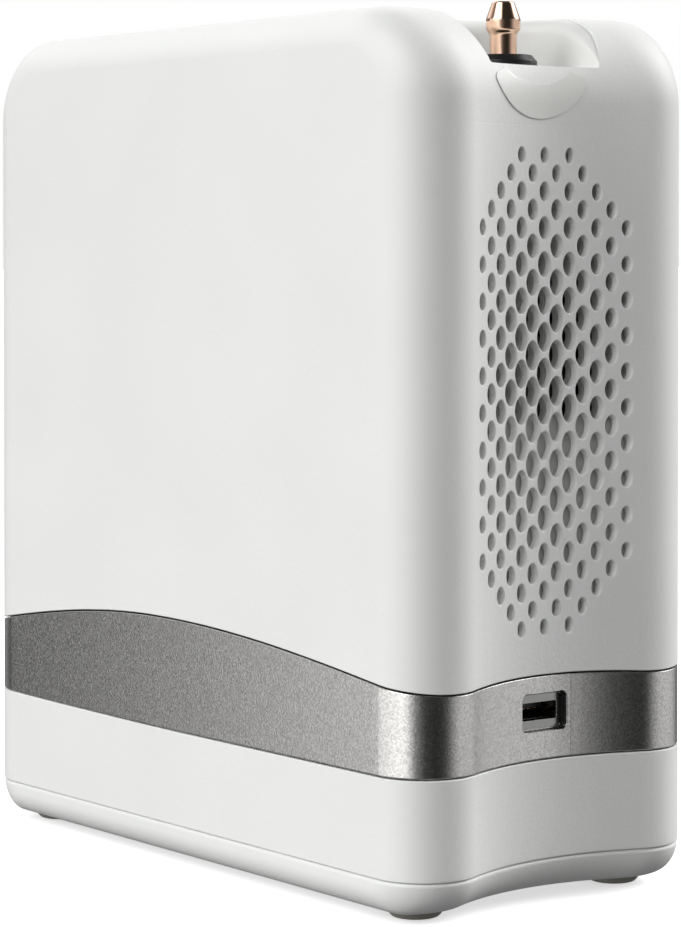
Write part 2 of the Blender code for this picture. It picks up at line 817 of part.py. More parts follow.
def upper_housing():
    cores = [pocket_loft("pocket_wall", [(WALL, POCKET_Z - WALL), (WALL, TOP)])]
    cores += [intake_core(), grille_pad()]
    cores.append(panel_outline("panel_backing", -PANEL_MARGIN, (BACKING_Z, TOP)))
    cores += board_pillars() + control_pillars()
    piece = shell("upper_housing", housing_foot, TOP + OVERRUN, ACROSS, WHITE, cores)
    cut(piece, pocket_cutter())
    tail = (OUTLET_X, 0.0, POCKET_Z - WALL - OVERRUN / 2)
    radius = BARB_NECK_RADIUS + GAP
    cut(piece, rod("outlet_hole", radius, tail, OVERRUN, "Z", sides=ROUND_SIDES))
    cut(piece, panel_outline("panel_recess", 0.0, (PANEL_SEAT, TOP + OVERRUN)))
    xs, ys = display_span(GAP)
    cut(piece, block("display_hole", xs, ys, (CONTROL_BOARD_TOP, TOP)))
    cut(piece, *button_holes("housing_button_hole"))
    cut(piece, *intake_cutters())
    cut(piece, grille_cutter())


def band(name, y, cores=()):
    return shell(name, BAND_LOW + GAP / 2, band_top, y, SILVER, cores)


def usb_recess():
    """The bevelled recess as a frustum that widens outwards."""
    half_y = USB_RECESS_WIDTH / 2
    half_z = USB_RECESS_HEIGHT / 2
    slope = USB_RECESS_BEVEL / USB_RECESS_DEPTH
    work = bmesh.new()
    rings = []
    for x in (USB_FLOOR_X, USB_FLOOR_X + OVERRUN):
        grow = slope * (x - VALLEY_X)
        corners = ((-1, -1), (1, -1), (1, 1), (-1, 1))
        ring = [
            work.verts.new((x, USB_Y + a * (half_y + grow), USB_Z + b * (half_z + grow)))
            for a, b in corners
        ]
        rings.append(ring)
    for i in range(4):
        j = (i + 1) % 4
        work.faces.new((rings[0][i], rings[0][j], rings[1][j], rings[1][i]))
    work.faces.new(rings[0])
    work.faces.new(rings[1])
    return object_from("usb_recess", work)


def usb_shell_span(spread):
    """The socket shell's outside, or more or less than it by a spread."""
    y = USB_SLOT_WIDTH / 2 + USB_SHELL_THICK + spread
    z = USB_SLOT_HEIGHT / 2 + USB_SHELL_THICK + spread
    return (USB_Y - y, USB_Y + y), (USB_Z - z, USB_Z + z)


def band_near():
    ys, zs = usb_shell_span(WALL)
    backing = block("usb_backing", (USB_BACK_X, LENGTH / 2), ys, zs)
    low = zs[0] + WALL - GAP
    shelf_x = (USB_BACK_X - GAP - USB_SHELL_DEPTH, LENGTH / 2)
    shelf = block("usb_shelf", shelf_x, ys, (low - USB_SHELF_THICK, low))
    join(backing, shelf)
    piece = band("trim_band_near", (ACROSS[0], BAND_SPLIT_Y - GAP / 2), [backing])
    cut(piece, usb_recess())
    ys, zs = usb_shell_span(-USB_SHELL_THICK)
    cut(piece, block("usb_slot", (INNER_X - OVERRUN / 2, LENGTH / 2), ys, zs))


def band_far():
    band("trim_band_far", (BAND_SPLIT_Y + GAP / 2, ACROSS[1]))


def usb_socket():
    front = USB_BACK_X - GAP
    back = front - USB_SHELL_DEPTH
    ys, zs = usb_shell_span(0.0)
    case = block("usb_shell", (back, front), ys, zs, STEEL, PARTS)
    ys, zs = usb_shell_span(-USB_SHELL_THICK)
    cut(case, block("usb_inside", (back - OVERRUN, front + OVERRUN), ys, zs))
    ys, zs = usb_shell_span(-USB_SHELL_THICK - GAP)
    stop = (back, back + 2 * USB_TONGUE_THICK)
    tongue = block("usb_tongue", stop, ys, zs, BLACK, PARTS)
    half = USB_TONGUE_WIDTH / 2
    reach = (back + GAP, front - USB_TONGUE_SETBACK)
    top = (zs[1] - USB_TONGUE_THICK - GAP, zs[1] - GAP)
    join(tongue, block("usb_blade", reach, (USB_Y - half, USB_Y + half), top))


def foot_places():
    return [(a * FOOT_X, b * FOOT_Y) for a in (1, -1) for b in (-1, 1)]


def screw_holes(name, radius, low, high, sides=FASTENER_SIDES):
    return [
        rod(f"{name}_{i}", radius, (x, y, low), high - low, "Z", sides=sides)
        for i, (x, y) in enumerate(foot_places())
    ]


def lower_housing():
    cores = []
    height = LOWER_BOSS_TOP - UNDERSIDE
    for i, (x, y) in enumerate(foot_places()):
        place = (x, y, UNDERSIDE)
        boss = rod(f"corner_boss_{i}", BOSS_RADIUS, place, height, "Z", sides=FASTENER_SIDES)
        along = (x - RIB_THICK / 2, x + RIB_THICK / 2)
        across = sorted((y, math.copysign(WIDTH / 2, y)))
        join(boss, block(f"corner_rib_{i}", along, across, (UNDERSIDE, LOWER_BOSS_TOP)))
        cores.append(boss)
    piece = shell("lower_housing", BASE_SEAM + GAP / 2, BAND_LOW - GAP / 2, ACROSS, WHITE, cores)
    bore_top = SCREW_SEAT + SCREW_LENGTH + GAP
    cut(piece, *screw_holes("boss_bore", SCREW_RADIUS + GAP, UNDERSIDE, bore_top))
    start = (-LENGTH / 2, 0.0, INLET_Z)
    cut(piece, rod("inlet_hole", INLET_RADIUS + GAP, start, OVERRUN, "X", sides=ROUND_SIDES))


def base_cover():
    cores = screw_holes("base_boss", BASE_BOSS_RADIUS, UNDERSIDE, BASE_BOSS_TOP)
    piece = shell("base_cover", -OVERRUN, BASE_SEAM - GAP / 2, ACROSS, WHITE, cores)
    cut(piece, *screw_holes("foot_recess", FOOT_RADIUS + GAP, -OVERRUN, FOOT_SEAT, SMALL_SIDES))
    cut(piece, *screw_holes("head_pocket", SCREW_HEAD_RADIUS + GAP, -OVERRUN, SCREW_SEAT))
    cut(piece, *screw_holes("shank_hole", SCREW_RADIUS + GAP, -OVERRUN, BASE_SEAM))


def feet_and_screws():
    for i, (x, y) in enumerate(foot_places(), start=1):
        height = FOOT_SEAT - GAP
        foot = [
            (0.0, height),
            (FOOT_RADIUS, height),
            (FOOT_RADIUS, FOOT_BEVEL),
            (FOOT_RADIUS - FOOT_BEVEL, 0.0),
            (0.0, 0.0),
        ]
        turned(f"foot_{i}", foot, (x, y, 0.0), "Z", RUBBER, PARTS, sides=SMALL_SIDES)
        head = SCREW_SEAT - GAP - SCREW_HEAD_HEIGHT
        screw = [
            (0.0, SCREW_HEAD_HEIGHT + SCREW_LENGTH),
            (SCREW_RADIUS, SCREW_HEAD_HEIGHT + SCREW_LENGTH - SCREW_RADIUS),
            (SCREW_RADIUS, SCREW_HEAD_HEIGHT),
            (SCREW_HEAD_RADIUS, SCREW_HEAD_HEIGHT),
            (SCREW_HEAD_RADIUS, 0.0),
            (0.0, 0.0),
        ]
        turned(f"base_screw_{i}", screw, (x, y, head), "Z", STEEL, PARTS, sides=FASTENER_SIDES)


def outlet():
    """The collar, the barb that stands through it, and the nut below the pocket's floor."""
    place = (OUTLET_X, 0.0, 0.0)
    bore = BARB_NECK_RADIUS + GAP
    collar = [
        (bore, NECK_Z),
        (COLLAR_RADIUS - COLLAR_CHAMFER, NECK_Z),
        (COLLAR_RADIUS, NECK_Z - COLLAR_CHAMFER),
        (COLLAR_RADIUS, COLLAR_Z),
        (bore, COLLAR_Z),
    ]
    turned("outlet_collar", collar, place, "Z", BLACK, PARTS, bored=True)
    z = NECK_Z + BARB_NECK_HEIGHT
    nut_top = POCKET_Z - WALL - GAP
    tail = nut_top - OUTLET_NUT_HEIGHT - BARB_TAIL
    tip = z + BARB_UNDERCUT + BARB_LAND + BARB_CONE
    barb = [
        (BARB_BORE, tip),
        (BARB_TIP_RADIUS, tip),
        (BARB_RADIUS, z + BARB_UNDERCUT + BARB_LAND),
        (BARB_RADIUS, z + BARB_UNDERCUT),
        (BARB_NECK_RADIUS, z),
        (BARB_NECK_RADIUS, tail),
        (BARB_BORE, tail),
    ]
    turned("outlet_barb", barb, place, "Z", COPPER, PARTS, bored=True)
    seat = (OUTLET_X, 0.0, nut_top - OUTLET_NUT_HEIGHT)
    sides = OUTLET_NUT_SIDES
    nut = rod("outlet_nut", OUTLET_NUT_RADIUS, seat, OUTLET_NUT_HEIGHT, "Z", STEEL, PARTS, sides)
    cut(nut, rod("nut_bore", bore, (OUTLET_X, 0.0, tail), OVERRUN, "Z", sides=ROUND_SIDES))
    return tail


def chassis():
    x = INNER_X - DECK_MARGIN_X
    y = INNER_Y - DECK_MARGIN_Y
    deck = block("chassis_deck", (-x, x), (-y, y), (DECK_UNDERSIDE, DECK_TOP), ALUMINIUM, PARTS)
    low = FLOOR_Z + GAP
    height = DECK_UNDERSIDE + DECK_THICK / 2 - low
    places = [(a * POST_X, b * POST_Y, low) for a in (-1, 1) for b in (-1, 1)]
    for i, place in enumerate(places):
        join(deck, rod(f"deck_post_{i}", POST_RADIUS, place, height, "Z"))


def battery():
    x = BATTERY_LENGTH / 2
    y = BATTERY_WIDTH / 2
    low = FLOOR_Z + GAP
    block("battery_pack", (-x, x), (-y, y), (low, low + BATTERY_HEIGHT), BLACK, PARTS, BATTERY_BEVEL)


def power_inlet():
    """A barrel socket, open towards -X, whose flange backs the end wall."""
    face = -VALLEY_X
    flange = -(INNER_X - GAP)
    step = flange - face
    profile = [
        (0.0, INLET_DEPTH),
        (INLET_RADIUS, INLET_DEPTH),
        (INLET_RADIUS, step + INLET_FLANGE_THICK),
        (INLET_FLANGE, step + INLET_FLANGE_THICK),
        (INLET_FLANGE, step),
        (INLET_RADIUS, step),
        (INLET_RADIUS, 0.0),
        (INLET_BORE, 0.0),
        (INLET_BORE, INLET_BORE_DEPTH),
        (INLET_PIN, INLET_BORE_DEPTH),
        (INLET_PIN, INLET_PIN),
        (0.0, INLET_PIN),
    ]
    turned("power_inlet", profile, (face, 0.0, INLET_Z), "X", BLACK, PARTS, sides=SMALL_SIDES)


def compressor():
    isolator = [
        (0.0, ISOLATOR_HEIGHT),
        (ISOLATOR_RADIUS, ISOLATOR_HEIGHT),
        (ISOLATOR_WAIST, ISOLATOR_HEIGHT / 2),
        (ISOLATOR_RADIUS, 0.0),
        (0.0, 0.0),
    ]
    middle = CRANKCASE_X + (CRANKCASE_LENGTH - MOTOR_LENGTH) / 2
    for i in range(4):
        x = middle + (2 * (i % 2) - 1) * ISOLATOR_X
        y = (2 * (i // 2) - 1) * ISOLATOR_Y
        place = (x, y, DECK_TOP + GAP)
        turned(f"isolator_{i + 1}", isolator, place, "Z", RUBBER, PARTS, sides=SMALL_SIDES)
    crankcase(middle)
    motor()
    cooling_wheel()
    for name, side in (("cylinder_near", -1), ("cylinder_far", 1)):
        cylinder(name, side)


def crankcase(middle):
    half = CRANKCASE_WIDTH / 2
    x = (CRANKCASE_X, CRANKCASE_X + CRANKCASE_LENGTH)
    top = SHAFT_Z + CRANKCASE_ABOVE_SHAFT
    body = block("crankcase", x, (-half, half), (PLATE_Z, top), ALUMINIUM, PARTS, CRANKCASE_BEVEL)
    reach = ISOLATOR_X + PLATE_MARGIN
    along = (middle - reach, middle + reach)
    reach = ISOLATOR_Y + PLATE_MARGIN
    thick = (PLATE_Z, PLATE_Z + PLATE_THICK)
    join(body, block("compressor_plate", along, (-reach, reach), thick))


def motor():
    """The motor can lies along X, with a bore at its open end for the shaft."""
    bore = SHAFT_RADIUS + GAP
    profile = [
        (0.0, MOTOR_LENGTH),
        (MOTOR_RADIUS, MOTOR_LENGTH),
        (MOTOR_RADIUS, MOTOR_CAP),
        (MOTOR_CAP_RADIUS, 0.0),
        (bore, 0.0),
        (bore, SHAFT_IN_MOTOR + GAP),
        (0.0, SHAFT_IN_MOTOR + GAP),
    ]
    turned("compressor_motor", profile, (MOTOR_END_X, 0.0, SHAFT_Z), "X", STEEL, PARTS, sides=SMALL_SIDES)


def cooling_wheel():
    """A small wheel at the motor's free end, on a shaft that runs into the motor."""
    inner = (MOTOR_END_X, 0.0, SHAFT_Z)
    wheel = rod("motor_cooling_wheel", SHAFT_RADIUS, inner, SHAFT_IN_MOTOR, "X", BLACK, PARTS)
    back = (WHEEL_BACK_X, 0.0, SHAFT_Z)
    join(wheel, rod("wheel_shaft", SHAFT_RADIUS, back, MOTOR_END_X + GAP - WHEEL_BACK_X, "X"))
    join(wheel, rod("wheel_hub", WHEEL_HUB, back, WHEEL_DEPTH, "X"))
    for i in range(WHEEL_BLADES):
        blade = block(
            f"wheel_blade_{i}",
            (WHEEL_BACK_X, WHEEL_FRONT_X),
            (-WHEEL_BLADE_THICK / 2, WHEEL_BLADE_THICK / 2),
            (SHAFT_RADIUS, WHEEL_RADIUS),
        )
        turn_about_x(blade, 2 * math.pi * i / WHEEL_BLADES, SHAFT_Z)
        join(wheel, blade)


def turn_about_x(thing, angle, axis_z, pitch=0.0):
    """Moves a blade drawn above the X axis round an axle at the given height."""
    thing.data.transform(Matrix.Rotation(pitch, 4, "Z"))
    x, _, z = thing.location
    thing.location = (x, -z * math.sin(angle), axis_z + z * math.cos(angle))
    thing.rotation_euler = (angle, 0.0, 0.0)


def cylinder(name, side):
    """A finned cylinder that lies along Y with its head at the outer end."""
    pitch = CYLINDER_LENGTH / (FIN_COUNT + 1)
    profile = [(0.0, CYLINDER_LENGTH + HEAD_THICK), (HEAD_RADIUS, CYLINDER_LENGTH + HEAD_THICK)]
    profile += [(HEAD_RADIUS, CYLINDER_LENGTH), (CYLINDER_RADIUS, CYLINDER_LENGTH)]
    for i in range(FIN_COUNT, 0, -1):
        high = pitch * i + FIN_THICK / 2
        low = pitch * i - FIN_THICK / 2
        profile += [(CYLINDER_RADIUS, high), (FIN_RADIUS, high), (FIN_RADIUS, low), (CYLINDER_RADIUS, low)]
    profile += [(CYLINDER_RADIUS, 0.0), (0.0, 0.0)]
    place = (CYLINDER_X, side * (CRANKCASE_WIDTH / 2 + GAP), SHAFT_Z)
    piece = turned(name, profile, place, "Y", ALUMINIUM, PARTS, sides=SMALL_SIDES)
    piece.rotation_euler = (-side * math.pi / 2, 0.0, 0.0)


def sieve_beds():
    profile = [
        (0.0, SIEVE_HEIGHT),
        (SIEVE_FLANGE, SIEVE_HEIGHT),
        (SIEVE_FLANGE, SIEVE_HEIGHT - SIEVE_FLANGE_THICK),
        (SIEVE_RADIUS, SIEVE_HEIGHT - SIEVE_FLANGE_THICK),
        (SIEVE_RADIUS, SIEVE_FLANGE_THICK),
        (SIEVE_FLANGE, SIEVE_FLANGE_THICK),
        (SIEVE_FLANGE, 0.0),
        (0.0, 0.0),
    ]
    for name, side in (("sieve_bed_near", -1), ("sieve_bed_far", 1)):
        place = (SIEVE_X, side * SIEVE_Y, DECK_TOP + GAP)
        turned(name, profile, place, "Z", ALUMINIUM, PARTS, sides=SMALL_SIDES)


def valves():
    x = (SIEVE_X - SIEVE_FLANGE, SIEVE_X + SIEVE_FLANGE)
    half = MANIFOLD_WIDTH / 2
    block("valve_manifold", x, (-half, half), (MANIFOLD_Z, MANIFOLD_TOP), ALUMINIUM, PARTS, MANIFOLD_BEVEL)
    low = MANIFOLD_TOP + GAP
    for name, side in (("solenoid_valve_near", -1), ("solenoid_valve_far", 1)):
        y = side * SIEVE_Y
        reach = VALVE_BASE / 2
        seat = (low, low + VALVE_BASE_HEIGHT)
        along = (SIEVE_X - reach, SIEVE_X + reach)
        valve = block(name, along, (y - reach, y + reach), seat, BLACK, PARTS)
        foot = (SIEVE_X, y, low + GAP)
        join(valve, rod(name + "_coil", VALVE_RADIUS, foot, VALVE_HEIGHT, "Z", sides=ROUND_SIDES))


def bottle(name, radius, height, x, y, material):
    """An upright canister with a drawn-in rim at each end."""
    profile = [
        (0.0, height),
        (radius - TANK_DOME, height),
        (radius, height - TANK_DOME),
        (radius, TANK_DOME),
        (radius - TANK_DOME, 0.0),
        (0.0, 0.0),
    ]
    turned(name, profile, (x, y, DECK_TOP + GAP), "Z", material, PARTS, sides=SMALL_SIDES)


def hose(name, start, start_way, end, end_way):
    """A hose between two ports, leaving each along its own direction."""
    curve = bpy.data.curves.new(name, "CURVE")
    curve.dimensions = "3D"
    curve.bevel_depth = HOSE_RADIUS
    curve.bevel_resolution = HOSE_BEVEL_STEPS
    curve.resolution_u = HOSE_STEPS
    curve.use_fill_caps = True
    curve.materials.append(HOSE)
    spline = curve.splines.new("BEZIER")
    spline.bezier_points.add(1)
    for point, place, way in zip(spline.bezier_points, (start, end), (start_way, end_way)):
        reach = [HOSE_REACH * w for w in way]
        sign = 1 if place is start else -1
        point.co = place
        point.handle_left_type = "FREE"
        point.handle_right_type = "FREE"
        point.handle_right = [c + sign * r for c, r in zip(place, reach)]
        point.handle_left = [c - sign * r for c, r in zip(place, reach)]
    thing = bpy.data.objects.new(name, curve)
    PARTS.objects.link(thing)


def hoses(outlet_tail):
    side_x = SIEVE_X + SIEVE_FLANGE + GAP
    z = (MANIFOLD_Z + MANIFOLD_TOP) / 2
    tank_top = DECK_TOP + 2 * GAP + TANK_HEIGHT
    up = (0.0, 0.0, 1.0)
    down = (0.0, 0.0, -1.0)
    right = (1.0, 0.0, 0.0)
    crank_top = (CYLINDER_X, 0.0, SHAFT_Z + CRANKCASE_ABOVE_SHAFT + GAP)
    hose("supply_hose", crank_top, up, (side_x, 0.0, z), right)
    tank_in = (TANK_X - PORT_OFFSET, TANK_Y, tank_top)
    hose("product_hose", tank_in, up, (side_x, TANK_Y + PORT_OFFSET, z), right)
    muffler_top = (MUFFLER_X, MUFFLER_Y, DECK_TOP + 2 * GAP + MUFFLER_HEIGHT)
    hose("exhaust_hose", muffler_top, up, (side_x, SIEVE_Y, z), right)
    tank_out = (TANK_X + PORT_OFFSET, TANK_Y, tank_top)
    hose("outlet_hose", tank_out, up, (OUTLET_X, 0.0, outlet_tail - GAP), down)


def fan():
    half = FAN_SIZE / 2
    x = (FAN_BACK_X, FAN_FRONT_X)
    z = (GRILLE_Z - half, GRILLE_Z + half)
    frame = rounded_prism("fan_frame", (-half, half), z, x, FAN_CORNER, BLACK, PARTS)
    start = (FAN_BACK_X - OVERRUN, 0.0, GRILLE_Z)
    cut(frame, rod("fan_bore", FAN_BORE, start, FAN_DEPTH + 2 * OVERRUN, "X", sides=BORE_SIDES))
    back = (FAN_BACK_X, 0.0, GRILLE_Z)
    cup = rod("fan_cup", FAN_CUP_RADIUS, back, FAN_CUP_THICK, "X", sides=ROUND_SIDES)
    for i in range(FAN_STRUTS):
        strut = block(
            f"fan_strut_{i}",
            (FAN_BACK_X, FAN_BACK_X + FAN_CUP_THICK),
            (-FAN_STRUT / 2, FAN_STRUT / 2),
            (FAN_PIN_RADIUS + GAP, FAN_BORE + GAP),
        )
        turn_about_x(strut, 2 * math.pi * i / FAN_STRUTS + FAN_STRUT_TURN, GRILLE_Z)
        join(cup, strut)
    join(frame, cup)
    through = OVERRUN + FAN_CUP_THICK + GAP
    cut(frame, rod("fan_pin_bore", FAN_PIN_RADIUS + GAP, start, through, "X"))
    fan_rotor()
    fan_bracket()


def fan_rotor():
    back = FAN_BACK_X + FAN_CUP_THICK + GAP
    place = (back, 0.0, GRILLE_Z)
    rotor = rod("fan_rotor", FAN_HUB_RADIUS, place, FAN_HUB_DEPTH, "X", BLACK, PARTS, sides=ROUND_SIDES)
    pin = (FAN_BACK_X, 0.0, GRILLE_Z)
    join(rotor, rod("fan_pin", FAN_PIN_RADIUS, pin, FAN_CUP_THICK + 2 * GAP, "X"))
    tip = FAN_BORE - FAN_TIP_CLEARANCE
    half = FAN_HUB_DEPTH / 2 / math.cos(FAN_BLADE_ANGLE) - FAN_BLADE_THICK
    centre = back + FAN_HUB_DEPTH / 2
    for i in range(FAN_BLADES):
        blade = block(
            f"fan_blade_{i}",
            (centre - half, centre + half),
            (-FAN_BLADE_THICK / 2, FAN_BLADE_THICK / 2),
            (FAN_HUB_RADIUS - FAN_BLADE_THICK, tip - FAN_BLADE_THICK),
        )
        turn_about_x(blade, 2 * math.pi * i / FAN_BLADES, GRILLE_Z, FAN_BLADE_ANGLE)
        join(rotor, blade)


def fan_bracket():
    """A portal that stands on the deck and carries the fan, open below for the socket."""
    top = GRILLE_Z - FAN_SIZE / 2 - GAP
    low = DECK_TOP + GAP
    half = FAN_SIZE / 2 - FAN_CORNER
    x = (FAN_BACK_X, FAN_FRONT_X - BRACKET_THICK)
    portal = block("fan_bracket", x, (-half, half), (low, top), ALUMINIUM, PARTS)
    inner = half - BRACKET_LEG
    along = (FAN_BACK_X - OVERRUN, FAN_FRONT_X + OVERRUN)
    way = (low - OVERRUN, top - BRACKET_THICK)
    cut(portal, block("portal_way", along, (-inner, inner), way))


def main_board():
    """The upright board on the far wall, with its largest chips."""
    half = BOARD_LENGTH / 2
    x = (BOARD_CENTRE_X - half, BOARD_CENTRE_X + half)
    y = (BOARD_Y, BOARD_Y + BOARD_THICK)
    board = block("main_board", x, y, (BOARD_LOW, BOARD_HIGH), BOARD_GREEN, PARTS)
    for i, (size, share) in enumerate(zip(CHIP_SIZES, CHIP_PLACES_SHARES)):
        cx = x[0] + BOARD_LENGTH * share[0]
        cz = BOARD_LOW + (BOARD_HIGH - BOARD_LOW) * share[1]
        along = (cx - size[0] / 2, cx + size[0] / 2)
        deep = (BOARD_Y - size[2], BOARD_Y + BOARD_THICK / 2)
        join(board, block(f"chip_{i}", along, deep, (cz - size[1] / 2, cz + size[1] / 2)))


def control_board():
    """The board under the panel, with a switch below each button."""
    xs, ys = control_board_span()
    z = (CONTROL_BOARD_TOP - BOARD_THICK, CONTROL_BOARD_TOP)
    board = block("control_board", xs, ys, z, BOARD_GREEN, PARTS)
    reach = SWITCH_SIZE / 2
    height = (CONTROL_BOARD_TOP - BOARD_THICK / 2, CONTROL_BOARD_TOP + SWITCH_HEIGHT)
    for i, (x, y) in enumerate(button_places()):
        along = (x - reach, x + reach)
        join(board, block(f"switch_{i}", along, (y - reach, y + reach), height))


def control_panel():
    panel = panel_outline("control_panel", GAP, (PANEL_Z, TOP), BLACK, PARTS)
    cut(panel, *button_holes("panel_button_hole"))
    xs, ys = display_span(-DISPLAY_EDGE)
    cut(panel, block("window_hole", xs, ys, (PANEL_SEAT, TOP + OVERRUN)))
    xs, ys = display_span(-DISPLAY_EDGE - GAP)
    block("display_window", xs, ys, (PANEL_Z, PANEL_Z + WINDOW_THICK), GLASS, PARTS)
    xs, ys = display_span(0.0)
    low = CONTROL_BOARD_TOP + GAP
    block("display_module", xs, ys, (low, PANEL_Z - GAP), BLACK, PARTS)


def buttons():
    height = TOP + BUTTON_CROWN - STEM_END
    flange_z = FLANGE_TOP - STEM_END
    profile = [
        (0.0, height),
        (BUTTON_RADIUS, height - BUTTON_CROWN),
        (BUTTON_RADIUS, flange_z),
        (BUTTON_RADIUS + BUTTON_FLANGE, flange_z),
        (BUTTON_RADIUS + BUTTON_FLANGE, flange_z - BUTTON_FLANGE_THICK),
        (BUTTON_STEM, flange_z - BUTTON_FLANGE_THICK),
        (BUTTON_STEM, 0.0),
        (0.0, 0.0),
    ]
    for name, (x, y) in zip(BUTTON_NAMES, button_places()):
        turned(name, profile, (x, y, STEM_END), "Z", SILVER, PARTS, sides=SMALL_SIDES)


def intake():
    """The louvred cover follows the hollow end, and the foam filter lies behind it."""
    cover = intake_window("intake_cover", GAP, (OUTSIDE_X, DUCT_X))
    move_to_parts(cover, WHITE)
    keep(cover, OUTER)
    cut(cover, envelope("cover_back", COVER_THICK))
    half = INTAKE_WIDTH / 2 - LOUVRE_SIDE_MARGIN
    pitch = INTAKE_HEIGHT / (LOUVRE_COUNT + 1)
    for i in range(LOUVRE_COUNT):
        z = GRILLE_Z - INTAKE_HEIGHT / 2 + pitch * (i + 1)
        edges = (z - LOUVRE_HEIGHT / 2, z + LOUVRE_HEIGHT / 2)
        cut(cover, block(f"louvre_{i}", (OUTSIDE_X, DUCT_X), (-half, half), edges))
    well = INTAKE_LEDGE + GAP
    foam = intake_window("inlet_filter", well, (OUTSIDE_X, DUCT_X - DUCT_LIP - GAP))
    move_to_parts(foam, FOAM)
    keep(foam, envelope("filter_front", COVER_SEAT))


def move_to_parts(thing, material):
    CUTTERS.objects.unlink(thing)
    PARTS.objects.link(thing)
    thing.hide_render = False
    thing.display_type = "TEXTURED"
    thing.data.materials.append(material)


def build():
    upper_housing()
    grille_screen()
    band_near()
    band_far()
    lower_housing()
    base_cover()
    feet_and_screws()
    usb_socket()
    outlet_tail = outlet()
    chassis()
    battery()
    power_inlet()
    compressor()
    sieve_beds()
    valves()
    bottle("product_tank", TANK_RADIUS, TANK_HEIGHT, TANK_X, TANK_Y, ALUMINIUM)
    bottle("exhaust_muffler", MUFFLER_RADIUS, MUFFLER_HEIGHT, MUFFLER_X, MUFFLER_Y, BLACK)
    hoses(outlet_tail)
    fan()
    main_board()
    control_board()
    control_panel()
    buttons()
    intake()


build()
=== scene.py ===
"""A portable oxygen concentrator in a studio, made piece by piece as it goes together."""

from math import asin, copysign, cos, pi, radians, sin, sqrt, tan

import bmesh
import bpy
from mathutils import Matrix, Vector


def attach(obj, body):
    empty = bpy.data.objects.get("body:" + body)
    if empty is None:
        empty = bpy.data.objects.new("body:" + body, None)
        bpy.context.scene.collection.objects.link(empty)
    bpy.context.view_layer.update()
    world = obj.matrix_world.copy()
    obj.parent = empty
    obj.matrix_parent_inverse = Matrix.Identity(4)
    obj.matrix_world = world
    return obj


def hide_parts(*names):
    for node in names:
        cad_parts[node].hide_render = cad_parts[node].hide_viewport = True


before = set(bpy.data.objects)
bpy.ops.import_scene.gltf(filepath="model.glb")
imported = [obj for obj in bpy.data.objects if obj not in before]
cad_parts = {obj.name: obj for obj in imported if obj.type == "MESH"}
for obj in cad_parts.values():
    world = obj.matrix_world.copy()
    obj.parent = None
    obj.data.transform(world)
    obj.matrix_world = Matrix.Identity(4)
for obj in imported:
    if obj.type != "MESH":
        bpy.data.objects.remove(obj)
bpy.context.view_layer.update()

# ---- Upper shell ----------------------------------------------------------------------------
# The tall cover of the body: white ABS, injection moulded, with a fine spark-eroded grain.
# It holds the outlet pocket, the oval air holes, the intake frame and the seat of the panel.
LENGTH = 0.2276
WIDTH = 0.1111
TOP = 0.2593
UNDERSIDE = 0.0025
WALL = 0.0026
PLAN_CORNER = 0.0165
END_HOLLOW = 0.0083
TOP_CORNER = 0.0270
FACE_EDGE = 0.0113
GAP = 0.0003
BAND_GAP = 0.00045
BAND_LOW = 0.0420
BAND_HIGH = 0.0654
BAND_LOW_RISE = 0.0016
BAND_ARCH = 0.0111
ARCH_CENTRE_X = -0.0120
SHELL_LIP = 0.00035
LINE_REACH = 0.0385
LINE_FADE = 0.0040
DOME_FOOT = 0.2000
PLUG_FOOT = 0.0300
PLUG_INSET = 0.0012
OVERRUN = 0.0200
CORNER_STEPS = 28
HOLLOW_STEPS = 40
FACE_COLUMNS = 72
ARC_STEPS = 26
INSIDE_STEPS = 10

CORNER_X = LENGTH / 2 - PLAN_CORNER
CORNER_Y = WIDTH / 2 - PLAN_CORNER
HOLLOW_RADIUS = (END_HOLLOW**2 + CORNER_Y**2) / (2 * END_HOLLOW) - PLAN_CORNER
HOLLOW_X = LENGTH / 2 - END_HOLLOW + HOLLOW_RADIUS
TANGENT = asin(CORNER_Y / (HOLLOW_RADIUS + PLAN_CORNER))
VALLEY_X = LENGTH / 2 - END_HOLLOW
INNER_X = VALLEY_X - WALL


def end_outline(inset, corner_steps, hollow_steps):
    """The plan of the +X end from the far wide face to the near one."""
    points = []
    radius = PLAN_CORNER - inset
    for step in range(corner_steps + 1):
        turn = pi / 2 - (pi / 2 + TANGENT) * step / corner_steps
        points.append((CORNER_X + radius * cos(turn), CORNER_Y + radius * sin(turn)))
    mirrored = [(x, -y) for x, y in reversed(points)]
    radius = HOLLOW_RADIUS + inset
    for step in range(1, hollow_steps):
        turn = TANGENT * (1 - 2 * step / hollow_steps)
        points.append((HOLLOW_X - radius * cos(turn), radius * sin(turn)))
    return points + mirrored


def plan_outline(inset, corner_steps, hollow_steps, columns):
    """The whole plan: the +X end, the near face, the -X end and the far face."""
    end = end_outline(inset, corner_steps, hollow_steps)
    half = WIDTH / 2 - inset
    near = [(CORNER_X * (1 - 2 * (i + 1) / (columns + 1)), -half) for i in range(columns)]
    back = [(-x, y) for x, y in reversed(end)]
    far = [(-x, half) for x, _ in near]
    return end + near + back + far


def fall(y, edge, inset):
    """How far the long round edge has dropped at a distance y from the middle."""
    past = abs(y) - (WIDTH / 2 - edge)
    if past <= 0:
        return inset
    return edge - sqrt(max((edge - inset) ** 2 - past**2, 0.0))


def section_arc(x, y, inset, crest, corner, edge, way, steps):
    """One corner of the lengthwise section at y, from the end wall to the crest."""
    drop = fall(y, edge, inset)
    radius = corner - drop
    centre_z = crest - way * (drop + radius)
    points = []
    for step in range(steps + 1):
        turn = pi / 2 * step / steps
        z = centre_z + way * radius * sin(turn)
        points.append((x - radius + radius * cos(turn), y, z))
    return points


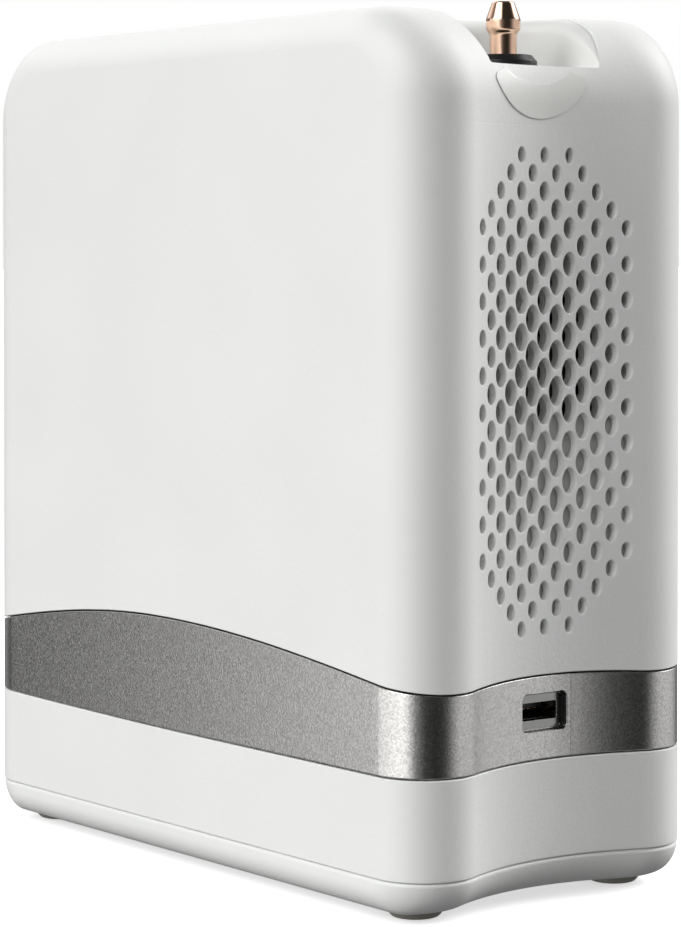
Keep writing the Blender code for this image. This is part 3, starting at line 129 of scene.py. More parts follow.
def new_piece(name, points, faces, turned_out=False):
    mesh = bpy.data.meshes.new(name)
    mesh.from_pydata(points, [], faces)
    piece = bpy.data.objects.new(name, mesh)
    bpy.context.scene.collection.objects.link(piece)
    if not turned_out:
        face_outwards(piece)
    return piece


def make_active(piece):
    bpy.ops.object.select_all(action="DESELECT")
    bpy.context.view_layer.objects.active = piece
    piece.select_set(True)


def face_outwards(piece):
    make_active(piece)
    bpy.ops.object.mode_set(mode="EDIT")
    bpy.ops.mesh.select_all(action="SELECT")
    bpy.ops.mesh.normals_make_consistent(inside=False)
    bpy.ops.object.mode_set(mode="OBJECT")


def strips(start, size, rings):
    """The faces between rings of points that follow each other from a start."""
    faces = []
    for ring in range(rings - 1):
        a, b = start + ring * size, start + (ring + 1) * size
        for i in range(size):
            j = (i + 1) % size
            faces.append((a + i, a + j, b + j, b + i))
    return faces


def body_solid(name, rings, steps, dome=None, keel=None, lines=()):
    """Rings of the plan from top to bottom, with a domed top or bottom where asked.

    Each ring is (inset, height), the height a number or a rule of x."""
    corner_steps, hollow_steps, columns, arc_steps = steps
    count = 2 * (corner_steps + 1) + hollow_steps - 1
    base = plan_outline(0.0, corner_steps, hollow_steps, columns)
    points = []
    size = len(base)
    for inset, height in rings:
        outline = plan_outline(inset, corner_steps, hollow_steps, columns)
        for (x, y), (x0, _) in zip(outline, base):
            points.append((x, y, height(x0) if callable(height) else height))
    faces = strips(0, size, len(rings))
    for form, start, ring in ((dome, 0, rings[0]), (keel, (len(rings) - 1) * size, rings[-1])):
        if form is None:
            faces.append(tuple(range(start, start + size)))
            continue
        crest, corner, edge, way = form
        rows = []
        for i in range(count):
            x, y = points[start + i][:2]
            arc = section_arc(x, y, ring[0], crest, corner, edge, way, arc_steps)
            if way > 0:
                arc = [(x - deep * line_share(y), y, z) for z, deep in lines] + arc
            first = len(points)
            points.extend(arc)
            points.extend((-px, py, pz) for px, py, pz in reversed(arc))
            back = start + count + columns + (count - 1 - i)
            rows.append([start + i] + list(range(first, len(points))) + [back])
        for one, two in zip(rows, rows[1:]):
            for k in range(len(one) - 1):
                faces.append((one[k], one[k + 1], two[k + 1], two[k]))
        near = list(range(start + count, start + count + columns))
        far = list(range(start + 2 * count + columns, start + size))
        faces.append(tuple(rows[-1] + near[::-1]))
        faces.append(tuple(rows[0] + far))
    return new_piece(name, points, faces)


def line_share(y):
    """The moulded line's depth, which dies out towards the corners."""
    return max(0.0, min(1.0, (LINE_REACH - abs(y)) / LINE_FADE))


def edge_height(x):
    """The arch of the band's upper edge over the wide faces."""
    side = x - ARCH_CENTRE_X
    reach = LENGTH / 2 + copysign(ARCH_CENTRE_X, side)
    share = min(abs(side) / reach, 1.0)
    return BAND_HIGH + BAND_ARCH * cos(pi / 2 * share)


def low_height(x):
    """The band's lower edge, which rises a little towards the -X end."""
    return BAND_LOW + BAND_LOW_RISE * (max(-x, 0.0) / (LENGTH / 2)) ** 1.5


def lip_rings(inset, height, radius, way, steps=4):
    """A quarter round at a shell's edge, from its face to its end."""
    rings = []
    for step in range(steps + 1):
        turn = pi / 2 * step / steps
        rise = way * radius * (1 - sin(turn))
        rings.append((inset + radius * (1 - cos(turn)), lambda x, rise=rise: height(x) + rise))
    return rings


def apply_all(piece):
    make_active(piece)
    for change in list(piece.modifiers):
        bpy.ops.object.modifier_apply(modifier=change.name)


def boolean(piece, other, operation="DIFFERENCE", solver="EXACT"):
    change = piece.modifiers.new("cut", "BOOLEAN")
    change.operation = operation
    change.solver = solver
    change.object = other
    apply_all(piece)
    bpy.data.objects.remove(other, do_unlink=True)


def loft(name, rows):
    """A closed solid through rows of points, each row one closed outline."""
    size = len(rows[0])
    points = [point for row in rows for point in row]
    faces = [tuple(range(size)), tuple(range(len(points) - size, len(points)))]
    return new_piece(name, points, faces + strips(0, size, len(rows)))


def span(middle, half):
    return (middle - half, middle + half)


def rounded_box(name, x, y, z, axis, corner, segments=8):
    """A box with round edges along one axis."""
    middle = [(low + high) / 2 for low, high in (x, y, z)]
    bpy.ops.object.select_all(action="DESELECT")
    bpy.ops.mesh.primitive_cube_add(size=1.0, location=middle)
    box = bpy.context.object
    box.name = name
    box.scale = [high - low for low, high in (x, y, z)]
    bpy.ops.object.transform_apply(location=True, rotation=True, scale=True)
    if not corner:
        return box
    bpy.ops.object.mode_set(mode="EDIT")
    bpy.ops.mesh.select_mode(type="EDGE")
    bpy.ops.mesh.select_all(action="DESELECT")
    work = bmesh.from_edit_mesh(box.data)
    for edge in work.edges:
        one, two = (v.co for v in edge.verts)
        if abs(one[axis] - two[axis]) > 0:
            edge.select_set(True)
    bmesh.update_edit_mesh(box.data)
    bpy.ops.mesh.bevel(offset=corner, segments=segments, profile=0.5)
    bpy.ops.object.mode_set(mode="OBJECT")
    return box


def shade(piece, rim=0.0, segments=3):
    """Rounds a piece's sharp corners by a small rim where asked, then smooths its shading."""
    if rim:
        bevel = piece.modifiers.new("soften", "BEVEL")
        bevel.width = rim
        bevel.segments = segments
        bevel.limit_method = "ANGLE"
        bevel.angle_limit = radians(50)
        apply_all(piece)
    make_active(piece)
    bpy.ops.object.shade_smooth_by_angle(angle=radians(32))
    change = piece.modifiers.new("even_faces", "WEIGHTED_NORMAL")
    change.keep_sharp = True
    apply_all(piece)
    return piece


FINE = (CORNER_STEPS, HOLLOW_STEPS, FACE_COLUMNS, ARC_STEPS)
PLAIN = (INSIDE_STEPS, 2 * INSIDE_STEPS, 0, INSIDE_STEPS)
DOME = (TOP, TOP_CORNER, FACE_EDGE, 1)
LINE_Z = 0.2260
LINES = ((LINE_Z - 0.00018, 0.0), (LINE_Z, 0.00008), (LINE_Z + 0.00018, 0.0))


def inner_dome(name, inset, foot):
    """The body's form drawn in by an inset, open downwards as far as the foot."""
    return body_solid(name, [(inset, DOME_FOOT), (inset, foot)], PLAIN, dome=DOME)


def upper_foot(x):
    return edge_height(x) + BAND_GAP / 2


POCKET_HALF = 0.0214
POCKET_FLOOR = TOP - 0.0160
POCKET_RIM = 0.0045
POCKET_LEAST_RIM = 0.0004
POCKET_EDGE = 0.0012
MOUTH_STEPS = 20
OUTLET_X = VALLEY_X - 0.0183
OUTLET_HOLE = 0.0043


def surface_height(x, y):
    """The height of the domed top above a place near the +X end."""
    past = max(0.0, x - (hollow_x(y) - TOP_CORNER))
    height = TOP - TOP_CORNER + sqrt(max(TOP_CORNER**2 - past**2, 0.0))
    return max(height, POCKET_FLOOR + POCKET_EDGE + 2 * POCKET_LEAST_RIM)


def rim_of(x, y):
    """The pocket's flared rim, which shrinks to nearly nothing where the walls run out."""
    depth = surface_height(x, y) - POCKET_FLOOR
    return min(POCKET_RIM, max(POCKET_LEAST_RIM, 0.45 * (depth - POCKET_EDGE)))


def pocket_row(share, height, spread=0.0, steps=40):
    """The U of the pocket, open towards the +X end, drawn out by a share of its rim."""
    mouth = hollow_x(POCKET_HALF) + 0.001
    side = [mouth - (mouth - OUTLET_X) * i / MOUTH_STEPS for i in range(MOUTH_STEPS)]
    side.insert(0, LENGTH / 2 + OVERRUN)
    path = [(x, -POCKET_HALF, 0.0, -1.0) for x in side]
    for step in range(steps + 1):
        turn = -pi / 2 - pi * step / steps
        a, b = cos(turn), sin(turn)
        path.append((OUTLET_X + POCKET_HALF * a, POCKET_HALF * b, a, b))
    path += [(x, POCKET_HALF, 0.0, 1.0) for x in reversed(side)]
    row = []
    for x, y, a, b in path:
        out = share * rim_of(x, y) + spread
        row.append((x + a * out, y + b * out, height(x, y) if callable(height) else height))
    return row


def pocket_cutter():
    """Upright walls from a softened floor edge to a wide rim that follows the domed top."""
    rows = []
    for step in range(6):
        turn = pi / 2 * step / 5
        drawn_in = -POCKET_EDGE * (1 - sin(turn))
        rows.append(pocket_row(0.0, POCKET_FLOOR + POCKET_EDGE * (1 - cos(turn)), drawn_in))
    for step in range(13):
        turn = pi / 2 * step / 12
        low = 1 - sin(turn)
        height = lambda x, y: surface_height(x, y) - rim_of(x, y) * low
        rows.append(pocket_row(1 - cos(turn), height))
    rows.append(pocket_row(1.0, TOP + OVERRUN))
    return loft("pocket", rows)


PANEL_X = -0.0220
PANEL_LENGTH = 0.0920
PANEL_WIDTH = 0.0600
PANEL_THICK = 0.0013
PANEL_CORNER = 0.0060
PANEL_BACKING = 0.0027
PANEL_SEAT = TOP - PANEL_THICK - GAP
BACKING_Z = PANEL_SEAT - PANEL_BACKING


def panel_prism(name, shrink, z):
    x = span(PANEL_X, PANEL_LENGTH / 2 - shrink)
    y = span(0.0, PANEL_WIDTH / 2 - shrink)
    return rounded_box(name, x, y, z, 2, PANEL_CORNER - shrink, 10)


GRILLE_Z = 0.1489
GRILLE_ROW = 0.00526
GRILLE_COLUMN = 0.00467
GRILLE_COUNTS = [3, 4, 5, 6] + [7 - i % 2 for i in range(19)] + [6, 5, 4, 3]
HOLE_LEAST = 0.0026
HOLE_MOST = 0.0057
HOLE_ASPECT = 0.65
HOLE_POINT = 0.11
HOLE_RIM = 0.00040
HOLE_SIDES = 32
RIM_TURNS = (0.4, 0.8, 1.2, 1.5707)


def hollow_x(y):
    return HOLLOW_X - sqrt(HOLLOW_RADIUS**2 - y * y)


def grille_cutter(first):
    """The oval air holes of every second row, with softened mouths that follow the hollow end.

    In the middle they swell towards a diamond, and only thin ridges stay between them."""
    points, faces = [], []
    centre = (len(GRILLE_COUNTS) - 1) / 2
    for row, count in list(enumerate(GRILLE_COUNTS))[first::2]:
        for number in range(count):
            column = 2 * number - (count - 1)
            along = cos(pi / 2 * (row - centre) / (centre + 1))
            across = cos(pi / 2 * column / max(GRILLE_COUNTS))
            half_width = (HOLE_LEAST + (HOLE_MOST - HOLE_LEAST) * along * across) / 2
            half_height = half_width / HOLE_ASPECT
            power = 1.0 + HOLE_POINT * along * across
            y, z = GRILLE_COLUMN * column, GRILLE_Z + GRILLE_ROW * (row - centre)
            rings = [(0.0, -OVERRUN), (0.0, -HOLE_RIM)]
            for turn in RIM_TURNS:
                rings.append((HOLE_RIM * (1 - cos(turn)), HOLE_RIM * (sin(turn) - 1)))
            rings.append((HOLE_RIM, OVERRUN))
            start = len(points)
            for grow, out in rings:
                for side in range(HOLE_SIDES):
                    turn = 2 * pi * side / HOLE_SIDES
                    a, b = cos(turn), sin(turn)
                    py = y + (half_width + grow) * copysign(abs(a) ** power, a)
                    pz = z + (half_height + grow) * copysign(abs(b) ** power, b)
                    points.append((hollow_x(py) + out, py, pz))
            faces += strips(start, HOLE_SIDES, len(rings))
            faces.append(tuple(reversed(range(start, start + HOLE_SIDES))))
            faces.append(tuple(range(len(points) - HOLE_SIDES, len(points))))
    return new_piece("air_holes", points, faces, turned_out=True)


INTAKE_WIDTH = 0.0600
INTAKE_HEIGHT = 0.1100
INTAKE_CORNER = 0.0060
INTAKE_LEDGE = 0.0030
COVER_THICK = 0.0014
DUCT_X = -(INNER_X - 0.0080)
DUCT_WALL = 0.0020
DUCT_LIP = 0.0020
OUTSIDE_X = -(LENGTH / 2 + OVERRUN)


def intake_prism(name, shrink, x):
    y = span(0.0, INTAKE_WIDTH / 2 - shrink)
    z = span(GRILLE_Z, INTAKE_HEIGHT / 2 - shrink)
    return rounded_box(name, x, y, z, 0, INTAKE_CORNER - shrink)


BUTTONS = ("power_button", "flow_down_button", "flow_up_button", "alarm_button")
BUTTON_BODIES = ("power_key", "flow_down_key", "flow_up_key", "alarm_key")
BUTTON_RADIUS = 0.0065
BUTTON_Y = -0.0180
BUTTON_PITCH = 0.0180
BUTTON_X = [PANEL_X + BUTTON_PITCH * (i - 1.5) for i in range(4)]
DISPLAY_LENGTH = 0.0560
DISPLAY_WIDTH = 0.0260
DISPLAY_Y = 0.0100


def round_cutter(name, radius, place, depth, axis="Z", vertices=48):
    """A cylinder from its place, along +Z or +X."""
    turn = (0.0, pi / 2, 0.0) if axis == "X" else (0.0, 0.0, 0.0)
    way = Vector((1, 0, 0)) if axis == "X" else Vector((0, 0, 1))
    bpy.ops.object.select_all(action="DESELECT")
    bpy.ops.mesh.primitive_cylinder_add(
        vertices=vertices,
        radius=radius,
        depth=depth,
        location=Vector(place) + way * depth / 2,
        rotation=turn,
    )
    cutter = bpy.context.object
    cutter.name = name
    bpy.ops.object.transform_apply(location=True, rotation=True, scale=True)
    return cutter


def display_box(name, spread, z):
    x = span(PANEL_X, DISPLAY_LENGTH / 2 + spread)
    y = span(DISPLAY_Y, DISPLAY_WIDTH / 2 + spread)
    return rounded_box(name, x, y, z, 2, 0.0)


def upper_shell():
    rings = [(0.0, DOME_FOOT)] + lip_rings(0.0, upper_foot, SHELL_LIP, 1)
    rings.append((WALL + PLUG_INSET, upper_foot))
    rings.append((WALL + PLUG_INSET, PLUG_FOOT))
    piece = body_solid("upper_shell", rings, FINE, dome=DOME, lines=LINES)
    hollow = inner_dome("hollow", WALL, PLUG_FOOT - OVERRUN)
    walls = [pocket_row(0.0, z, WALL) for z in (POCKET_FLOOR - WALL, TOP)]
    boolean(hollow, loft("pocket_wall", walls))
    backing = panel_prism("panel_backing", -0.0020, (BACKING_Z, TOP))
    boolean(hollow, backing, solver="MANIFOLD")
    boolean(hollow, intake_prism("duct", INTAKE_LEDGE - DUCT_WALL, (OUTSIDE_X, DUCT_X)))
    boolean(piece, hollow)
    boolean(piece, pocket_cutter())
    through = (OUTLET_X, 0, POCKET_FLOOR - 0.01)
    boolean(piece, round_cutter("outlet_hole", OUTLET_HOLE, through, 0.02))
    seat = panel_prism("panel_seat", 0.0, (PANEL_SEAT, TOP + OVERRUN))
    boolean(piece, seat, solver="MANIFOLD")
    below = BACKING_Z - 0.005
    boolean(piece, display_box("display_hole", GAP, (below, TOP)))
    for x in BUTTON_X:
        hole = round_cutter("button_hole", BUTTON_RADIUS + GAP, (x, BUTTON_Y, below), 0.01)
        boolean(piece, hole)
    recess = intake_prism("cover_recess", 0.0, (OUTSIDE_X, DUCT_X))
    boolean(recess, inner_dome("cover_bed", COVER_THICK + GAP, PLUG_FOOT))
    boolean(piece, recess)
    boolean(piece, intake_prism("filter_well", INTAKE_LEDGE, (OUTSIDE_X, DUCT_X - DUCT_LIP)))
    boolean(piece, intake_prism("duct_mouth", 2 * INTAKE_LEDGE, (OUTSIDE_X, DUCT_X + 0.002)))
    for first in (0, 1):
        boolean(piece, grille_cutter(first), solver="MANIFOLD")
    return shade(piece)


def linear(hex_colour):
    """An sRGB hex colour as the linear RGBA that a shader takes."""
    values = [int(hex_colour[i : i + 2], 16) / 255 for i in (1, 3, 5)]
    return (*[v / 12.92 if v <= 0.04045 else ((v + 0.055) / 1.055) ** 2.4 for v in values], 1.0)


def feed(tree, node, inputs):
    """Gives a node's inputs their values, or links them to other nodes' outputs."""
    for name, value in inputs.items():
        if isinstance(value, bpy.types.NodeSocket):
            tree.links.new(value, node.inputs[name])
        else:
            node.inputs[name].default_value = value
    return node


def add(tree, kind, inputs=None, **settings):
    """One node with its settings, its values and its links."""
    node = tree.nodes.new("ShaderNode" + kind)
    for name, value in settings.items():
        setattr(node, name, value)
    return feed(tree, node, inputs or {})


def material(name):
    """A new material, its tree and the object's own coordinates."""
    made = bpy.data.materials.new(name)
    made.use_nodes = True
    place = add(made.node_tree, "TexCoord").outputs["Object"]
    return made, made.node_tree, place


RANGE = ("Value", "To Min", "To Max", "From Min", "From Max")
RELIEF = ("Height", "Strength", "Distance")


def dress(made, colour, values, tone=None, rough=None, relief=None):
    """A material's shader, with a colour, plain values and what its patterns drive.

    The tone and the roughness take a pattern's output and a range, and the relief takes a
    pattern's output, a strength and a depth."""
    tree = made.node_tree
    inputs = {"Base Color": linear(colour), **values}
    if tone:
        tint = add(tree, "MapRange", dict(zip(RANGE, tone))).outputs["Result"]
        hue = add(tree, "HueSaturation", {"Value": tint, "Color": linear(colour)})
        inputs["Base Color"] = hue.outputs["Color"]
    if rough:
        inputs["Roughness"] = add(tree, "MapRange", dict(zip(RANGE, rough))).outputs["Result"]
    if relief:
        inputs["Normal"] = add(tree, "Bump", dict(zip(RELIEF, relief))).outputs["Normal"]
    feed(tree, tree.nodes["Principled BSDF"], inputs)
    return made


# White ABS gives the eye a soft satin sheen, a faint cool-warm drift and a leathery grain.
def moulded_abs(name, colour, roughness, grain):
    made, tree, place = material(name)
    coarse = add(
        tree, "TexNoise", {"Vector": place, "Scale": 1 / 0.0011, "Detail": 2.0, "Roughness": 0.6}
    ).outputs["Fac"]
    drift = add(tree, "TexNoise", {"Vector": place, "Scale": 1 / 0.045, "Detail": 1.0})
    return dress(
        made,
        colour,
        {"IOR": 1.54},
        tone=(drift.outputs["Fac"], 0.985, 1.01, 0.3, 0.7),
        rough=(coarse, roughness - 0.04, roughness + 0.04, 0.3, 0.7),
        relief=(coarse, grain, 0.00012),
    )


WHITE = moulded_abs("white_abs_spark_eroded", "#E7E8E6", 0.42, 0.55)


def finished(piece, slot, look, *nodes, body="housing"):
    """Gives a piece its look and its place in the frame."""
    piece.data.materials.clear()
    piece.data.materials.append(look)
    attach(piece, body)
    if nodes:
        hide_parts(*nodes)
    return piece


finished(upper_shell(), "white_abs", WHITE, "upper_housing")

# ---- Label plate ----------------------------------------------------------------------------
# A thin crescent of clear-coated ABS, bonded under the lip of the outlet pocket.
# It is left bare. It bends with the hollow end, and its edge catches a thin bright line.
PLATE_MIDDLE_Y = -0.0022
PLATE_INNER = (0.0206, 0.2582, radians(39.5))
PLATE_OUTER = (0.0204, 0.2481, radians(66))
PLATE_THICK = 0.00028
PLATE_LIFT = 0.00002
PLATE_TAPER = 0.05


def end_wall_x(y, z):
    """The body's surface at the narrow end, which leans back above the corner's start."""
    drop = fall(y, FACE_EDGE, 0.0)
    radius = TOP_CORNER - drop
    rise = max(z - (TOP - drop - radius), 0.0)
    return hollow_x(y) - radius + sqrt(radius**2 - rise**2)


def label_plate():
    bpy.ops.object.select_all(action="DESELECT")
    bpy.ops.mesh.primitive_grid_add(x_subdivisions=48, y_subdivisions=10, size=1.0)
    plate = bpy.context.object
    plate.name = "label_plate"
    for vertex in plate.data.vertices:
        v = vertex.co.y + 0.5
        u = vertex.co.x * 2 * (1 - PLATE_TAPER * max(0.0, (v - 0.7) / 0.3) ** 2)
        places = []
        for radius, middle, reach in (PLATE_INNER, PLATE_OUTER):
            places.append((radius * sin(u * reach), middle - radius * cos(u * reach)))
        y, z = ((1 - v) * a + v * b for a, b in zip(*places))
        y += PLATE_MIDDLE_Y
        vertex.co = (end_wall_x(y, z) + PLATE_LIFT, y, z)
    thick = plate.modifiers.new("thickness", "SOLIDIFY")
    thick.thickness = PLATE_THICK
    thick.offset = -1.0
    apply_all(plate)
    if sum(f.normal.x for f in plate.data.polygons if f.center.y**2 < 1e-5) < 0:
        face_outwards(plate)
    return shade(plate, 0.0001, 2)


CLEAR_PLATE = moulded_abs("label_plate_gloss_abs", "#E6E6E3", 0.24, 0.12)
finished(label_plate(), "white_abs", CLEAR_PLATE)

# ---- Grille screen --------------------------------------------------------------------------
# A second sheet of white ABS close behind the oval holes, heat-staked to the end wall.
# Its own holes stand behind those of the upper rows, and lower down it is plain.
SCREEN_DEPTH = 0.0031
SCREEN_THICK = 0.0020
SCREEN_HALF = 0.0310
SCREEN_FIRST_ROW = 12


def grille_screen():
    height = span(GRILLE_Z, GRILLE_ROW * (len(GRILLE_COUNTS) + 0.5) / 2)
    depth = (INNER_X - 0.006, LENGTH / 2)
    sheet = rounded_box("grille_screen", depth, span(0.0, SCREEN_HALF), height, 0, 0.004)
    boolean(sheet, inner_dome("screen_front", SCREEN_DEPTH, PLUG_FOOT), "INTERSECT")
    boolean(sheet, inner_dome("screen_back", SCREEN_DEPTH + SCREEN_THICK, PLUG_FOOT))
    for first in (SCREEN_FIRST_ROW, SCREEN_FIRST_ROW + 1):
        boolean(sheet, grille_cutter(first), solver="MANIFOLD")
    return shade(sheet)


# The screen's ABS is greyer than the shell's white: painted shade that darkens the holes.
SCREEN_SHADED_GREY = moulded_abs("screen_abs_matt_painted_shade", "#C6C6C3", 0.55, 0.4)
finished(grille_screen(), "white_abs", SCREEN_SHADED_GREY, "grille_screen")

# ---- Oxygen outlet --------------------------------------------------------------------------
# A turned brass barb with a polished copper-gold plating stands in a low black nylon collar.
# The tube slides over the barb, and a nut under the pocket's floor holds both.
COLLAR_RADIUS = 0.0100
COLLAR_HEIGHT = 0.0035
COLLAR_Z = POCKET_FLOOR + GAP
NECK_RADIUS = 0.0040
NECK_Z = COLLAR_Z + COLLAR_HEIGHT
NECK_HEIGHT = 0.0061
NECK_TOP = NECK_Z + NECK_HEIGHT
BARB_RADIUS = 0.0051
BARB_UNDERCUT = 0.0015
BARB_LAND = 0.0029
BARB_CONE = 0.0053
LAND_LOW = NECK_TOP + BARB_UNDERCUT
LAND_TOP = NECK_TOP + (BARB_UNDERCUT + BARB_LAND)
BARB_TIP = NECK_TOP + BARB_UNDERCUT + BARB_LAND + BARB_CONE
BARB_TIP_RADIUS = 0.0032
BARB_BORE = 0.0016
NUT_HEIGHT = 0.0040
BARB_TAIL = 0.0040
BARB_FOOT = POCKET_FLOOR - WALL - GAP - NUT_HEIGHT - BARB_TAIL


def filleted(points, radius, steps=5):
    """A profile's corners replaced by arcs, up to the radius."""
    out = [points[0]]
    for before, here, after in zip(points, points[1:], points[2:]):
        here, one, two = Vector(here), Vector(before), Vector(after)
        reach = min(radius, (one - here).length * 0.45, (two - here).length * 0.45)
        start = here + (one - here).normalized() * reach
        end = here + (two - here).normalized() * reach
        for step in range(steps + 1):
            t = step / steps
            out.append(tuple(start * (1 - t) ** 2 + here * 2 * t * (1 - t) + end * t**2))
    return out + [points[-1]]


def turned(name, profile, place, axis="Z", steps=72, closed=False):
    """A lathe-turned piece: (radius, height) points spun round the axis."""
    mesh = bpy.data.meshes.new(name)
    count = len(profile)
    edges = [(i, i + 1) for i in range(count - 1)] + ([(count - 1, 0)] if closed else [])
    mesh.from_pydata([(r, 0.0, h) for r, h in profile], edges, [])
    piece = bpy.data.objects.new(name, mesh)
    bpy.context.scene.collection.objects.link(piece)
    make_active(piece)
    bpy.ops.object.mode_set(mode="EDIT")
    bpy.ops.mesh.select_all(action="SELECT")
    bpy.ops.mesh.spin(steps=steps, angle=2 * pi, center=(0, 0, 0), axis=(0, 0, 1))
    bpy.ops.mesh.select_all(action="SELECT")
    bpy.ops.mesh.remove_doubles(threshold=0.000002)
    bpy.ops.mesh.normals_make_consistent(inside=False)
    bpy.ops.object.mode_set(mode="OBJECT")
    turn = Matrix.Rotation(pi / 2, 4, "Y") if axis == "X" else Matrix.Identity(4)
    mesh.transform(Matrix.Translation(place) @ turn)
    return shade(piece)


def outlet_barb():
    outer = [(BARB_BORE, BARB_TIP), (BARB_TIP_RADIUS, BARB_TIP), (BARB_RADIUS, LAND_TOP)]
    outer += [(BARB_RADIUS, LAND_LOW), (NECK_RADIUS, NECK_TOP), (NECK_RADIUS, BARB_FOOT)]
    outer = filleted(outer + [(BARB_BORE, BARB_FOOT)], 0.0006)
    return turned("outlet_barb_plated", outer, (OUTLET_X, 0, 0), closed=True, steps=96)


def outlet_collar():
    inside = NECK_RADIUS + GAP
    ring = [(inside, NECK_Z - 0.0004), (NECK_RADIUS + 0.0008, NECK_Z)]
    ring += [(COLLAR_RADIUS - 0.0016, NECK_Z), (COLLAR_RADIUS, NECK_Z - 0.0018)]
    ring += [(COLLAR_RADIUS, COLLAR_Z), (inside, COLLAR_Z)]
    return turned("outlet_collar_nylon", filleted(ring, 0.0003), (OUTLET_X, 0, 0), closed=True)


# Plated brass: a mirror with a warm rose cast and faint turning marks across the axis.
def plated_copper():
    made, tree, place = material("rose_gold_plated_brass")
    rings = add(tree, "Mapping", {"Vector": place, "Scale": (60, 60, 9000)}).outputs["Vector"]
    marks = add(tree, "TexNoise", {"Vector": rings, "Scale": 1.0, "Detail": 2.0})
    return dress(made, "#EBC6AD", {"Metallic": 1.0}, rough=(marks.outputs["Fac"], 0.06, 0.14))


# Black nylon: a dull satin with the faint mottling of a glass-filled moulding.
def black_plastic(name, colour, roughness, grain_size):
    made, tree, place = material(name)
    grain = add(tree, "TexNoise", {"Vector": place, "Scale": 1 / grain_size, "Detail": 3.0})
    grain = grain.outputs["Fac"]
    rough = (grain, roughness - 0.08, roughness + 0.08)
    return dress(made, colour, {}, rough=rough, relief=(grain, 0.25, 0.00005))


ROSE_GOLD = plated_copper()
BLACK_NYLON = black_plastic("black_glass_filled_nylon", "#1B1A1A", 0.34, 0.0008)
finished(outlet_barb(), "copper_plate", ROSE_GOLD, "outlet_barb")
finished(outlet_collar(), "black_plastic", BLACK_NYLON, "outlet_collar")

# ---- Trim band ------------------------------------------------------------------------------
# Two half rings of ABS, sprayed with a silver metallic paint whose flakes sparkle a little.
# They snap between the shells and meet on the narrow ends. The front one holds the socket.
BAND_SPLIT_Y = 0.0100
BAND_INSET = 0.00012
BAND_EDGE = 0.00035
SEAM = 0.00012
USB_Z = 0.0559
USB_SLOT_HALF = (0.00665, 0.00255)
USB_RECESS_HALF = (0.0086, 0.0056)
USB_RECESS_CORNER = 0.0020
USB_RIM = 0.00022
USB_FLOOR_X = VALLEY_X - 0.0025
USB_BACK_X = USB_FLOOR_X - WALL
USB_STEEL = 0.0005


def band_top(x):
    return edge_height(x) - BAND_GAP / 2


def band_low(x):
    return low_height(x) + BAND_GAP / 2


def band_ring():
    inside = WALL + PLUG_INSET
    rings = [(inside, 0.100), (inside, band_top)]
    rings += lip_rings(BAND_INSET, band_top, BAND_EDGE, -1)[::-1]
    rings += lip_rings(BAND_INSET, band_low, BAND_EDGE, 1)
    rings += [(inside, band_low), (inside, 0.020)]
    return body_solid("trim_band", rings, FINE)


def band_hollow():
    return body_solid("band_hollow", [(WALL, 0.120), (WALL, 0.0)], PLAIN)


def rounded_outline(half_y, half_z, corner, steps=6):
    points = []
    for number, (a, b) in enumerate(((1, 1), (-1, 1), (-1, -1), (1, -1))):
        for step in range(steps + 1):
            turn = pi / 2 * (number + step / steps)
            y = a * (half_y - corner) + corner * cos(turn)
            z = b * (half_z - corner) + corner * sin(turn)
            points.append((y, z))
    return points


def recess_row(grow, x):
    """The recess's outline, grown a little, at a depth x or at a rule of y."""
    y, z = (half + grow for half in USB_RECESS_HALF)
    outline = rounded_outline(y, z, USB_RECESS_CORNER + grow)
    return [(x(y) if callable(x) else x, y, USB_Z + z) for y, z in outline]


def usb_recess():
    """The recess round the socket, with a softened floor edge and rim."""
    rows = []
    for out, grow in ((0.0, -0.0004), (0.0001, -0.0002), (0.0003, -0.00005)):
        rows.append(recess_row(grow, USB_FLOOR_X + out))
    for turn in (0.0, *RIM_TURNS):
        drawn_in = USB_RIM * (1 - sin(turn))
        front = lambda y: hollow_x(y) - BAND_INSET - drawn_in
        rows.append(recess_row(USB_RIM * (1 - cos(turn)), front))
    rows.append([(LENGTH / 2, y, z) for _, y, z in rows[-1]])
    return loft("usb_recess", rows)


def usb_prism(name, spread, x, corner=0.0004):
    y, z = (half + spread for half in USB_SLOT_HALF)
    return rounded_box(name, x, span(0.0, y), span(USB_Z, z), 0, corner, 4)


def band_half(name, side):
    half = band_ring()
    half.name = name
    hollow = band_hollow()
    if side < 0:
        boolean(hollow, usb_prism("backing", USB_STEEL + WALL, (USB_BACK_X, LENGTH / 2)))
    boolean(half, hollow)
    cut = sorted((BAND_SPLIT_Y + side * SEAM / 2, BAND_SPLIT_Y - side * WIDTH))
    boolean(half, rounded_box("other_half", span(0.0, LENGTH), cut, (0.0, 0.2), 0, 0.0))
    if side < 0:
        boolean(half, usb_recess())
        boolean(half, usb_prism("usb_slot", 0.0, (INNER_X - 0.01, LENGTH / 2)))
    return shade(half)


# Silver paint: flat aluminium flakes under a thin clear coat give a grainy metallic grey
# that runs from near white to near black as the band turns.
def silver_paint():
    made, tree, place = material("silver_metallic_paint")
    flakes = add(tree, "TexVoronoi", {"Vector": place, "Scale": 1 / 0.0005})
    shine = add(tree, "SeparateColor", {"Color": flakes.outputs["Color"]}).outputs
    grain = add(tree, "TexNoise", {"Vector": place, "Scale": 1 / 0.0006, "Detail": 2.0})
    return dress(
        made,
        "#CDCCCA",
        {"Metallic": 1.0},
        tone=(shine["Red"], 0.80, 1.17),
        rough=(shine["Green"], 0.16, 0.26),
        relief=(grain.outputs["Fac"], 0.34, 0.00008),
    )


SILVER = silver_paint()
finished(band_half("trim_band_front", -1), "silver_paint", SILVER, "trim_band_near")
finished(band_half("trim_band_back", 1), "silver_paint", SILVER, "trim_band_far")

